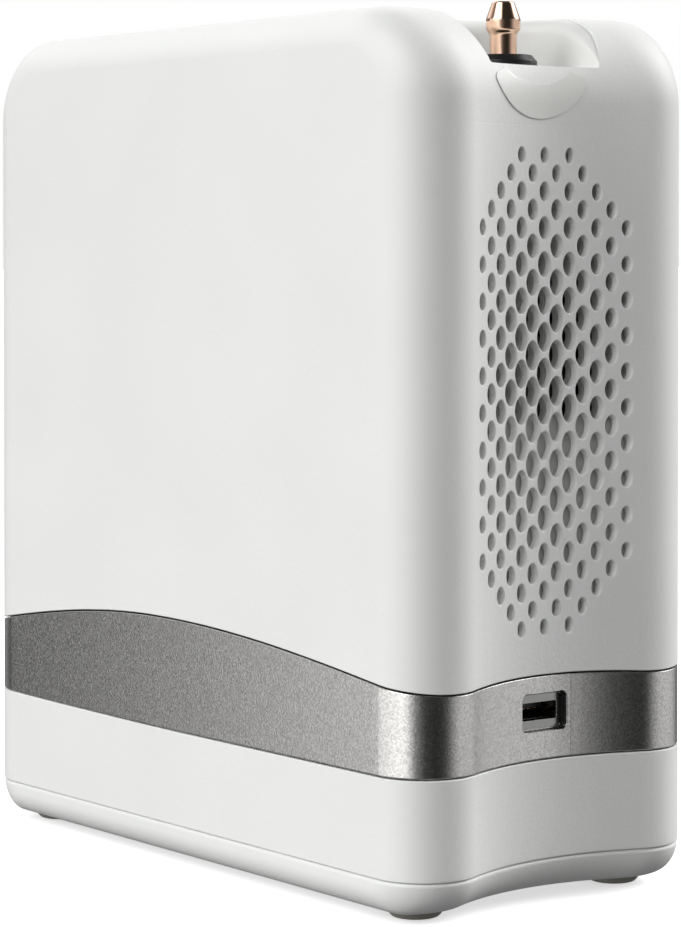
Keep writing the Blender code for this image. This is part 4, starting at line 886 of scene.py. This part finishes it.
# ---- USB socket -----------------------------------------------------------------------------
# A tin-plated steel case, folded from sheet, with a black tongue and four copper contacts.
# It sits behind the slot in the band and charges a telephone.
USB_FRONT = USB_BACK_X - GAP
USB_REAR = USB_FRONT - 0.0140
TONGUE_TOP = USB_Z + USB_SLOT_HALF[1] - 2 * GAP
TONGUE_THICK = 0.0019
TONGUE_HALF = 0.00555
CONTACT_PITCH = 0.0025
CONTACT_HALF = (0.0006, 0.0001)
BEZEL_INSET = 0.00055
SHADE_STRIP_WIDTH = 0.00045


def usb_case():
    case = usb_prism("usb_case", USB_STEEL, (USB_REAR, USB_FRONT), 0.0007)
    boolean(case, usb_prism("usb_inside", 0.0, (USB_REAR - OVERRUN, USB_FRONT + OVERRUN)))
    return shade(case, 0.00008, 2)


def usb_tongue():
    depth = (USB_REAR + GAP, USB_FRONT - 0.0022)
    height = (TONGUE_TOP - TONGUE_THICK, TONGUE_TOP)
    width = span(0.0, TONGUE_HALF)
    blade = rounded_box("usb_tongue_moulding", depth, width, height, 1, 0.0003, 3)
    stop = usb_prism("usb_stop", -2 * GAP, (USB_REAR, USB_REAR + 2 * TONGUE_THICK))
    boolean(blade, stop, "UNION")
    return shade(blade)


def usb_contacts():
    depth = (USB_REAR + 0.004, USB_FRONT - 0.0026)
    height = span(TONGUE_TOP - TONGUE_THICK - 0.00012, CONTACT_HALF[1])
    contacts = []
    for number in range(4):
        width = span(CONTACT_PITCH * (number - 1.5) * 0.9, CONTACT_HALF[0])
        contacts.append(rounded_box("usb_contacts", depth, width, height, 1, 0.00008, 2))
    bpy.ops.object.select_all(action="DESELECT")
    for contact in contacts:
        contact.select_set(True)
    bpy.context.view_layer.objects.active = contacts[0]
    bpy.ops.object.join()
    return shade(contacts[0])


# Bare sheet steel: bright and grey with fine rolling lines along its length.
def rolled_steel(name, colour, roughness):
    made, tree, place = material(name)
    lines = add(tree, "Mapping", {"Vector": place, "Scale": (150, 4000, 4000)})
    marks = {"Vector": lines.outputs["Vector"], "Scale": 1.0, "Detail": 3.0}
    marks = add(tree, "TexNoise", marks).outputs["Fac"]
    return dress(made, colour, {"Metallic": 1.0}, rough=(marks, roughness - 0.1, roughness + 0.1))


def usb_painted_shade_strip():
    """A glossy black strip on the recess's far wall: painted shade for its dark reflection."""
    height = span(USB_Z, USB_RECESS_HALF[1] - USB_RECESS_CORNER * 0.6)
    edge = USB_RECESS_HALF[0] - 0.00005
    depth = (USB_FLOOR_X - 0.0001, hollow_x(edge) - 0.0005)
    strip = rounded_box("usb_painted_shade_strip", depth, (edge - SHADE_STRIP_WIDTH, edge), height, 0, 0.0)
    return shade(strip, 0.00015, 2)


def usb_bezel():
    """The brushed steel plate on the recess's floor, with a rounded edge round the slot."""
    y, z = (half - BEZEL_INSET for half in USB_RECESS_HALF)
    depth = (USB_FLOOR_X - 0.0001, USB_FLOOR_X + 0.00045)
    corner = USB_RECESS_CORNER - 0.0006
    plate = rounded_box("usb_bezel", depth, span(0.0, y), span(USB_Z, z), 0, corner)
    boolean(plate, usb_prism("bezel_slot", 0.0, (USB_BACK_X, LENGTH / 2), 0.0008))
    return shade(plate, 0.00016)


STEEL = rolled_steel("tinned_sheet_steel", "#B4B2AE", 0.3)
BRUSHED = rolled_steel("brushed_bezel_steel", "#A5A5A3", 0.26)
finished(usb_case(), "steel", STEEL, "usb_shell")
finished(usb_tongue(), "black_plastic", BLACK_NYLON, "usb_tongue")
finished(usb_contacts(), "copper_plate", ROSE_GOLD)
# The black strip on the recess's far wall is painted shade.
finished(usb_painted_shade_strip(), "black_plastic", BLACK_NYLON)
finished(usb_bezel(), "steel", BRUSHED)

# ---- Lower shell and base -------------------------------------------------------------------
# The white ABS tray below the band, and the base cover that closes it with four screws.
# Their seam is a hairline, and the base turns under in a wide radius to the feet.
BASE_SEAM = 0.0130
BOTTOM_CORNER = 0.0120
BASE_EDGE = 0.0076
KEEL = (UNDERSIDE, BOTTOM_CORNER, BASE_EDGE, -1)
KEEL_TOP = 0.0160
SEAM_LIP = 0.00030
BASE_LIP = 0.0012
FOOT_RADIUS = 0.0083
FOOT_SEAT = UNDERSIDE + 0.0027
FOOT_X = LENGTH / 2 - 0.0203
FOOT_Y = WIDTH / 2 - 0.0170
FOOT_PLACES = [(a * FOOT_X, b * FOOT_Y) for a in (1, -1) for b in (-1, 1)]
BOSS_RADIUS = 0.0102
BOSS_TOP = 0.0124
SCREW_RADIUS = 0.0018
HEAD_RADIUS = 0.0034
DRILL_FROM = -0.01
HEAD_DRILL = 0.0182
INLET_Z = 0.0270
INLET_RADIUS = 0.0060
INLET_FLANGE = 0.0085


def plan_normal(x, y):
    """The outward direction of the plan's outline next to a point."""
    a, b = abs(x), abs(y)
    if a > CORNER_X and (b - CORNER_Y) > -tan(TANGENT) * (a - CORNER_X):
        way = Vector((a - CORNER_X, b - CORNER_Y))
    elif a > CORNER_X:
        way = Vector((HOLLOW_X - a, -b))
    else:
        way = Vector((0.0, 1.0))
    way.normalize()
    return Vector((copysign(way.x, x), copysign(1, y) * way.y, 0.0))


def level_cut(piece, height, keep_above=None):
    """A level cut through the piece, which may also clear one side and close it."""
    make_active(piece)
    bpy.ops.object.mode_set(mode="EDIT")
    bpy.ops.mesh.select_all(action="SELECT")
    bpy.ops.mesh.bisect(
        plane_co=(0, 0, height),
        plane_no=(0, 0, 1),
        use_fill=keep_above is not None,
        clear_inner=keep_above is True,
        clear_outer=keep_above is False,
        threshold=0.000001,
    )
    bpy.ops.object.mode_set(mode="OBJECT")


def round_seam(piece, height, way, radius, steps=5):
    """Draws the wall in to a quarter round next to a level seam."""
    levels = [height - way * radius * (1 - sin(pi / 2 * s / steps)) for s in range(steps)]
    for level in levels:
        level_cut(piece, level)
    for vertex in piece.data.vertices:
        near = radius - way * (height - vertex.co.z)
        if 0 < near <= radius + 1e-7:
            draw = radius - sqrt(max(radius**2 - near**2, 0.0))
            vertex.co -= plan_normal(vertex.co.x, vertex.co.y) * draw


def keel_form(name, inset, steps, top):
    return body_solid(name, [(inset, top), (inset, KEEL_TOP)], steps, keel=KEEL)


def lower_shell():
    inside = WALL + PLUG_INSET
    low_top = lambda x: low_height(x) - BAND_GAP / 2
    rings = [(inside, 0.060), (inside, low_top)]
    rings += lip_rings(0.0, low_top, SHELL_LIP, -1)[::-1]
    rings.append((0.0, KEEL_TOP))
    piece = body_solid("lower_shell", rings, FINE, keel=KEEL)
    level_cut(piece, BASE_SEAM + SEAM / 2, keep_above=True)
    round_seam(piece, BASE_SEAM + SEAM / 2, -1, SEAM_LIP)
    boolean(piece, body_solid("tray_hollow", [(WALL, 0.080), (WALL, KEEL_TOP)], PLAIN, keel=KEEL))
    outside = (-LENGTH / 2 - 0.01, 0, INLET_Z)
    boolean(piece, round_cutter("inlet_hole", INLET_RADIUS + GAP, outside, 0.03, "X"))
    return shade(piece)


def base_shell():
    piece = keel_form("base_shell", 0.0, FINE, 0.030)
    level_cut(piece, BASE_SEAM - SEAM / 2, keep_above=False)
    round_seam(piece, BASE_SEAM - SEAM / 2, 1, BASE_LIP)
    hollow = keel_form("base_hollow", WALL, PLAIN, 0.040)
    for x, y in FOOT_PLACES:
        boolean(hollow, round_cutter("boss", BOSS_RADIUS, (x, y, 0.0), BOSS_TOP))
    boolean(piece, hollow)
    for x, y in FOOT_PLACES:
        under, seat = (x, y, DRILL_FROM), FOOT_RADIUS + GAP
        boolean(piece, round_cutter("foot_seat", seat, under, FOOT_SEAT - DRILL_FROM, vertices=64))
        boolean(piece, round_cutter("screw_hole", SCREW_RADIUS, under, 0.03))
        boolean(piece, round_cutter("head_pocket", HEAD_RADIUS, under, HEAD_DRILL))
    return shade(piece)


finished(lower_shell(), "white_abs", WHITE, "lower_housing")
finished(base_shell(), "white_abs", WHITE, "base_cover")

# ---- Feet -----------------------------------------------------------------------------------
# Four pads of dark grey rubber, moulded with a softened edge and pressed into round seats.
# They hide the base screws and keep the machine from walking on a table.
FOOT_EDGE = 0.0010


def foot(number, x, y):
    top, sole = FOOT_SEAT - GAP, FOOT_RADIUS - 0.0006
    profile = [(0.0, top), (FOOT_RADIUS, top), (FOOT_RADIUS, UNDERSIDE), (sole, FOOT_EDGE)]
    profile += [(sole - FOOT_EDGE, 0.0), (FOOT_RADIUS - 0.0030, 0.0)]
    profile += [(FOOT_RADIUS - 0.0034, 0.0003), (0.0, 0.0003)]
    return turned(f"foot_pad_{number}", filleted(profile, 0.0006), (x, y, 0.0), steps=64)


# Moulded rubber: dull dark grey, slightly chalky.
def moulded_rubber():
    made, tree, place = material("grey_moulded_rubber")
    chalk = add(tree, "TexNoise", {"Vector": place, "Scale": 1 / 0.0014, "Detail": 4.0})
    chalk = chalk.outputs["Fac"]
    tone, relief = (chalk, 0.8, 1.2), (chalk, 0.3, 0.00008)
    return dress(made, "#86837C", {"Roughness": 0.75}, tone=tone, relief=relief)


RUBBER = moulded_rubber()
for number, (x, y) in enumerate(FOOT_PLACES, start=1):
    finished(foot(number, x, y), "grey_rubber", RUBBER, f"foot_{number}")

# ---- Control panel --------------------------------------------------------------------------
# A black polycarbonate plate lies flush in the top, with a window over the display.
# The photograph doesn't show the top, so this is the usual arrangement, without words.
PANEL_LOW = PANEL_SEAT + GAP
WINDOW_TOP = PANEL_LOW + 0.0010
WINDOW_LEDGE = 0.0015


def control_plate():
    plate = panel_prism("control_plate", GAP, (PANEL_LOW, TOP))
    below = PANEL_SEAT - 0.001
    for x in BUTTON_X:
        place = (x, BUTTON_Y, below)
        boolean(plate, round_cutter("key_hole", BUTTON_RADIUS + GAP, place, 0.01, vertices=72))
    boolean(plate, display_box("window_hole", -WINDOW_LEDGE, (below, TOP + OVERRUN)))
    return shade(plate, 0.00025)


def window_glass():
    return shade(display_box("window_glass", -WINDOW_LEDGE - GAP, (PANEL_LOW, WINDOW_TOP)), 0.0002)


# Black polycarbonate is glossy with a soft orange peel, and the window is smoked and clear.
BLACK_GLOSS = black_plastic("black_gloss_polycarbonate", "#141517", 0.2, 0.004)
SMOKED = black_plastic("smoked_acrylic_window", "#0B0D10", 0.1, 0.02)
finished(control_plate(), "black_plastic", BLACK_GLOSS, "control_panel")
finished(window_glass(), "display_glass", SMOKED, "display_window")

# ---- Push buttons ---------------------------------------------------------------------------
# Four round keys, moulded with a low crown and painted silver like the band.
# Each carries a small raised sign: power, less, more and a bell for the alarm.
FLANGE_TOP = BACKING_Z - GAP
KEY_TOP = TOP + 0.0005
FLANGE_LOW = FLANGE_TOP - 0.0012
KEY_STEM_END = FLANGE_LOW - 0.0035
STEM_RADIUS = 0.0025
SIGN_LOW = -0.0004
SIGN_HIGH = 0.00022


def key(number, x):
    r, flange = BUTTON_RADIUS, BUTTON_RADIUS + 0.0015
    profile = [(r * s, KEY_TOP - 0.00035 * s * s) for s in (0.0, 0.2, 0.4, 0.6, 0.75)]
    rim = [(r * 0.88, KEY_TOP - 0.00030), (r, KEY_TOP - 0.0005), (r, FLANGE_TOP)]
    rim += [(flange, FLANGE_TOP), (flange, FLANGE_LOW), (STEM_RADIUS, FLANGE_LOW)]
    rim += [(STEM_RADIUS, KEY_STEM_END), (0.0, KEY_STEM_END)]
    return turned(f"key_{number}", profile + filleted(rim, 0.0004), (x, BUTTON_Y, 0.0))


def bar(x, y, length, width):
    height = (KEY_TOP + SIGN_LOW, KEY_TOP + SIGN_HIGH)
    corner = min(length, width) * 0.45
    return rounded_box("bar", span(x, length / 2), span(y, width / 2), height, 2, corner, 4)


def flat_ring(x, y, radius, width, start, sweep, steps=40):
    """A raised arc: a small square section swept round the key's middle."""
    low, high = span(0.0, width / 2)
    rows = []
    for step in range(steps + 1):
        turn = start + sweep * step / steps
        way = Vector((cos(turn), sin(turn), 0))
        row = []
        for out, z in ((low, SIGN_LOW), (high, SIGN_LOW), (high, SIGN_HIGH), (low, SIGN_HIGH)):
            point = Vector((x, y, KEY_TOP)) + way * (radius + out)
            row.append((point.x, point.y, KEY_TOP + z))
        rows.append(row)
    return loft("arc", rows)


def bell(x, y):
    """The alarm's bell: a flared outline in plan, with its clapper below."""
    outline = [(0.0019, -0.0010), (0.0013, -0.0004), (0.0011, 0.0006), (0.0007, 0.0013)]
    outline.append((0.0, 0.0016))
    outline += [(-a, b) for a, b in reversed(outline[:-1])]
    rows = [[(x + a, y + b, KEY_TOP + z) for a, b in outline] for z in (SIGN_LOW, SIGN_HIGH)]
    return [loft("bell", rows), bar(x, y - 0.0016, 0.0012, 0.0005)]


def sign(number, x):
    """Power, less, more or the alarm's bell, joined from its strokes."""
    y = BUTTON_Y
    if number == 1:
        ring = flat_ring(x, y, 0.0018, 0.0005, radians(125), radians(290))
        parts = [ring, bar(x, y + 0.0014, 0.0005, 0.0018)]
    elif number == 4:
        parts = bell(x, y)
    else:
        parts = [bar(x, y, 0.0038, 0.0006)]
    if number == 3:
        parts.append(bar(x, y, 0.0006, 0.0038))
    first = parts[0]
    for other in parts[1:]:
        boolean(first, other, "UNION")
    first.name = f"key_sign_{number}"
    return shade(first)


WHITE_INK = moulded_abs("white_pad_print", "#EDEDEA", 0.5, 0.1)
for number, (x, node, body) in enumerate(zip(BUTTON_X, BUTTONS, BUTTON_BODIES), start=1):
    finished(key(number, x), "silver_paint", SILVER, node, body=body)
    finished(sign(number, x), "white_abs", WHITE_INK, body=body)

# ---- Intake cover ---------------------------------------------------------------------------
# A louvred cover of white ABS closes the other narrow end and pulls off for the foam filter.
# The photograph doesn't show that end, so its slots are the usual ones.
LOUVRE_COUNT = 9
LOUVRE_HALF = (INTAKE_WIDTH / 2 - 0.0060, 0.0023)
COVER_STEPS = (CORNER_STEPS, HOLLOW_STEPS, 0, 2)


def intake_cover():
    cover = intake_prism("louvred_cover", GAP, (OUTSIDE_X, DUCT_X))
    outer = body_solid("cover_front", [(0.0, 0.23), (0.0, 0.05)], COVER_STEPS)
    boolean(cover, outer, "INTERSECT")
    inner = body_solid("cover_back", [(COVER_THICK, 0.24), (COVER_THICK, 0.04)], COVER_STEPS)
    boolean(cover, inner)
    pitch = INTAKE_HEIGHT / (LOUVRE_COUNT + 1)
    y, h = LOUVRE_HALF
    for i in range(LOUVRE_COUNT):
        z = span(GRILLE_Z - INTAKE_HEIGHT / 2 + pitch * (i + 1), h)
        boolean(cover, rounded_box("louvre", (OUTSIDE_X, DUCT_X), span(0.0, y), z, 0, h * 0.95))
    return shade(cover, 0.0002)


finished(intake_cover(), "white_abs", WHITE, "intake_cover", body="filter_cover")

# ---- Power inlet ----------------------------------------------------------------------------
# A black barrel socket for the charger, with a steel pin, behind a round hole in the tray.
# The photograph doesn't show it, nor a cord, so only the inlet is here.
INLET_FACE = -VALLEY_X
INLET_STEP = VALLEY_X - INNER_X + GAP
INLET_FLANGE_END = INLET_STEP + 0.0020
INLET_BORE = 0.0032
PIN_RADIUS = 0.0010


def inlet_barrel():
    r, flange = INLET_RADIUS, INLET_FLANGE
    profile = [(0.0, 0.0150), (r, 0.0150), (r, INLET_FLANGE_END), (flange, INLET_FLANGE_END)]
    profile += [(flange, INLET_STEP), (r, INLET_STEP), (r, 0.0), (INLET_BORE, 0.0)]
    profile = filleted(profile + [(INLET_BORE, 0.0100), (0.0, 0.0100)], 0.0003)
    return turned("charger_socket", profile, (INLET_FACE, 0.0, INLET_Z), "X")


def inlet_pin():
    r = PIN_RADIUS
    profile = [(0.0, 0.0099), (r, 0.0099), (r, 0.0016), (r - 0.0004, 0.0010), (0.0, 0.0009)]
    return turned("charger_pin", profile, (INLET_FACE, 0.0, INLET_Z), "X", steps=32)


finished(inlet_barrel(), "black_plastic", BLACK_NYLON, "power_inlet")
finished(inlet_pin(), "steel", STEEL)

# ---- Inner pieces ---------------------------------------------------------------------------
# What the closed housing hides keeps its solid: chassis, compressor, sieve beds, valves,
# hoses, fan, boards and battery. Each gets the finish of its real material.


# Cast or machined aluminium is pale and dull, with a fine sandy grain.
def bare_aluminium(name, colour, roughness, grain_size):
    made, tree, place = material(name)
    sand = add(tree, "TexNoise", {"Vector": place, "Scale": 1 / grain_size, "Detail": 4.0})
    sand = sand.outputs["Fac"]
    rough = (sand, roughness - 0.08, roughness + 0.1)
    return dress(made, colour, {"Metallic": 1.0}, rough=rough, relief=(sand, 0.3, 0.00015))


# A circuit board is green lacquer over copper tracks, which show as paler lines.
def lacquered_board():
    made, tree, place = material("green_lacquered_board")
    cells = {"Vector": place, "Scale": 1 / 0.004, "Randomness": 0.6}
    tracks = add(tree, "TexVoronoi", cells, distance="MANHATTAN").outputs["Distance"]
    mask = add(tree, "MapRange", {"Value": tracks, "From Min": 0.4, "From Max": 0.5})
    colours = {0: mask.outputs["Result"], 6: linear("#0F4A2A"), 7: linear("#2C7A4A")}
    mix = add(tree, "Mix", colours, data_type="RGBA")
    return dress(made, "#0F4A2A", {"Base Color": mix.outputs[2], "Roughness": 0.35})


# Open foam is charcoal, full of small pores.
def open_foam():
    made, tree, place = material("charcoal_open_foam")
    pores = add(tree, "TexVoronoi", {"Vector": place, "Scale": 1 / 0.0016}).outputs["Distance"]
    tone, relief = (pores, 0.3, 1.4, 0.0, 0.7), (pores, 0.8, 0.0006)
    return dress(made, "#3C3D40", {"Roughness": 0.95}, tone=tone, relief=relief)


# Silicone tube is milky and slightly see-through at its edges.
def silicone():
    made, tree, place = material("milky_silicone_tube")
    milk = add(tree, "TexNoise", {"Vector": place, "Scale": 1 / 0.012, "Detail": 2.0})
    values = {"Roughness": 0.4, "Subsurface Weight": 0.2}
    return dress(made, "#C9CCCB", values, tone=(milk.outputs["Fac"], 0.9, 1.08))


CAST = bare_aluminium("die_cast_aluminium", "#BFC1C3", 0.5, 0.0012)
DRAWN = bare_aluminium("drawn_aluminium_tube", "#CDD0D3", 0.32, 0.0005)
ZINC_STEEL = rolled_steel("zinc_plated_steel", "#A9ACAF", 0.32)
BATTERY_WRAP = black_plastic("black_shrink_wrap", "#17181B", 0.38, 0.006)
BEDS = ("sieve_bed_near", "sieve_bed_far", "product_tank")
CASTINGS = ("crankcase", "cylinder_near", "cylinder_far", "valve_manifold")
CASTINGS += ("chassis_deck", "fan_bracket")
STEEL_PARTS = ("compressor_motor", "outlet_nut", *(f"base_screw_{n}" for n in range(1, 5)))
MOULDINGS = ("motor_cooling_wheel", "solenoid_valve_near", "solenoid_valve_far", "fan_frame")
MOULDINGS += ("fan_rotor", "display_module", "exhaust_muffler")
INNER_LOOKS = (
    (ZINC_STEEL, STEEL_PARTS),
    (CAST, CASTINGS),
    (DRAWN, BEDS),
    (BLACK_NYLON, MOULDINGS),
    (RUBBER, [f"isolator_{n}" for n in range(1, 5)]),
    (lacquered_board(), ("main_board", "control_board")),
    (silicone(), ("supply_hose", "product_hose", "exhaust_hose", "outlet_hose")),
    (open_foam(), ("inlet_filter",)),
    (BATTERY_WRAP, ("battery_pack",)),
)
for look, nodes in INNER_LOOKS:
    for node in nodes:
        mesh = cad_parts[node].data
        mesh.materials.clear()
        mesh.materials.append(look)

# ---- Studio ---------------------------------------------------------------------------------
# A pale floor in a white tent. A tall softbox stands to the left of the camera and a wide one
# behind the narrow end on the right, with a dark gap between them, as the shading shows.
CAMERA_PLACE = (0.7338, -0.5666, 0.18875)
CAMERA_TURN = radians(51.97)
CAMERA_DIP = radians(1.02)
CAMERA_LENS = 113.24
CAMERA_SHIFT = (0.0005, -0.170)
FLOOR_SIZE = 60.0
FLOOR_Z = -0.0002
LOW_LIGHTS = (
    (-180, 0.30), (-165, 0.18), (-155, 0.08), (-150, 0.07), (-146, 0.10), (-143, 0.42),
    (-140, 1.12), (-134, 1.26), (-128, 1.25), (-112, 1.35), (-95, 1.50), (-84, 1.58),
    (-76, 1.58), (-70, 1.35), (-62, 0.70), (-52, 0.24), (-36, 0.06), (-18, 0.03), (-4, 0.03),
    (10, 0.08), (20, 0.25), (30, 0.50), (42, 0.68), (62, 0.70), (78, 0.68), (92, 0.50),
    (106, 0.20), (140, 0.12), (160, 0.20), (180, 0.30),
)
HIGH_LIGHTS = (
    (-180, 1.6), (-165, 1.2), (-150, 0.8), (-135, 0.2), (-120, 0.3), (-105, 4.0), (-90, 3.4),
    (-75, 3.5), (-60, 2.2), (-48, 0.03), (25, 0.03), (45, 0.1), (60, 2.5), (75, 4.1),
    (90, 3.0), (105, 0.4), (120, 0.2), (135, 1.0), (150, 1.6), (180, 1.6),
)
GROUND_LIGHT = 0.14
TOP_LIGHT = 0.1
HEIGHTS = (-30, -16, 12, 24, 44, 58)
LAMPS = (
    ("key", -97, 28, 0.47, 18),
    ("front_fill", -30, 36, 0.30, 40),
    ("side_fill", 75, 28, 2.40, 36),
)
WHITE_LIGHT = (1.0, 1.0, 1.0, 1.0)


# Seamless white paper: matt, with a faint mottling, and pale enough to fade into the tent.
def pale_floor():
    bpy.ops.object.select_all(action="DESELECT")
    bpy.ops.mesh.primitive_plane_add(size=FLOOR_SIZE, location=(0, 0, FLOOR_Z))
    floor = bpy.context.object
    floor.name = "floor"
    floor.visible_diffuse = False
    floor.visible_glossy = False
    made, tree, place = material("white_studio_floor")
    paper = add(tree, "TexNoise", {"Vector": place, "Scale": 1 / 0.03, "Detail": 3.0})
    glow = {"Emission Color": linear("#FFFFFF"), "Emission Strength": 0.55}
    dress(made, "#F4F4F4", {"Roughness": 0.9, **glow}, tone=(paper.outputs["Fac"], 0.97, 1.0))
    floor.data.materials.append(made)


def curve_of(tree, value, stops, low, high):
    """A smooth curve through (value, brightness) stops, as a float curve scaled to 0...1."""
    share = add(tree, "MapRange", {"Value": value, "From Min": low, "From Max": high})
    most = max(level for _, level in stops)
    node = add(tree, "FloatCurve", {"Value": share.outputs["Result"]})
    curve = node.mapping.curves[0]
    points = [((at - low) / (high - low), level / most) for at, level in stops]
    while len(curve.points) < len(points):
        curve.points.new(0.5, 0.5)
    for point, (at, level) in zip(curve.points, points):
        point.location = (at, level)
        point.handle_type = "VECTOR"
    node.mapping.update()
    level = add(tree, "Math", {0: node.outputs["Value"], 1: most}, operation="MULTIPLY")
    return level.outputs["Value"]


def studio_sky():
    """White to the camera. For the lighting, two belts of softboxes between floor and ceiling."""
    world = bpy.data.worlds.new("studio")
    bpy.context.scene.world = world
    world.use_nodes = True
    tree = world.node_tree
    tree.nodes.clear()
    way = add(tree, "SeparateXYZ", {"Vector": add(tree, "TexCoord").outputs["Generated"]})
    x, y, z = (way.outputs[axis] for axis in "XYZ")
    turn = add(tree, "Math", {0: y, 1: x}, operation="ARCTAN2").outputs["Value"]
    rise = add(tree, "Math", {0: z}, operation="ARCSINE").outputs["Value"]
    azimuth = add(tree, "Math", {0: turn}, operation="DEGREES").outputs["Value"]
    height = add(tree, "Math", {0: rise}, operation="DEGREES").outputs["Value"]
    low = curve_of(tree, azimuth, LOW_LIGHTS, -180, 180)
    high = curve_of(tree, azimuth, HIGH_LIGHTS, -180, 180)
    a, b, c, d, e, f = HEIGHTS
    belts = (
        (GROUND_LIGHT, ((-90, 1), (a, 1), (b, 0), (90, 0))),
        (low, ((-90, 0), (a, 0), (b, 1), (c, 1), (d, 0), (90, 0))),
        (high, ((-90, 0), (c, 0), (d, 1), (e, 1), (f, 0), (90, 0))),
        (TOP_LIGHT, ((-90, 0), (e, 0), (f, 1), (90, 1))),
    )
    total = 0.0
    for light, stops in belts:
        share = curve_of(tree, height, stops, -90, 90)
        terms = {0: share, 1: light, 2: total}
        total = add(tree, "Math", terms, operation="MULTIPLY_ADD").outputs["Value"]
    light = add(tree, "Background", {"Color": WHITE_LIGHT, "Strength": total})
    seen = add(tree, "Background", {"Color": WHITE_LIGHT, "Strength": 1.0})
    camera_ray = add(tree, "LightPath").outputs["Is Camera Ray"]
    shades = {"Fac": camera_ray, 1: light.outputs["Background"], 2: seen.outputs["Background"]}
    mix = add(tree, "MixShader", shades)
    add(tree, "OutputWorld", {"Surface": mix.outputs["Shader"]})


def soft_lamp(name, side, height, strength, spread):
    """A lamp too diffuse to show in the glossy pieces, which the belts already light."""
    lamp = bpy.data.lights.new(name, "SUN")
    lamp.energy = strength
    lamp.angle = radians(spread)
    hung = bpy.data.objects.new(name, lamp)
    hung.rotation_euler = (0.0, radians(90 - height), radians(side))
    hung.visible_glossy = False
    bpy.context.scene.collection.objects.link(hung)


pale_floor()
studio_sky()
for lamp in LAMPS:
    soft_lamp(*lamp)

lens = bpy.data.cameras.new("camera")
lens.lens = CAMERA_LENS
lens.sensor_width = 36.0
lens.shift_x, lens.shift_y = CAMERA_SHIFT
camera = bpy.data.objects.new("camera", lens)
camera.location = CAMERA_PLACE
camera.rotation_euler = (pi / 2 - CAMERA_DIP, 0.0, CAMERA_TURN)
bpy.context.scene.collection.objects.link(camera)
bpy.context.scene.camera = camera
bpy.context.scene.view_settings.view_transform = "Standard"
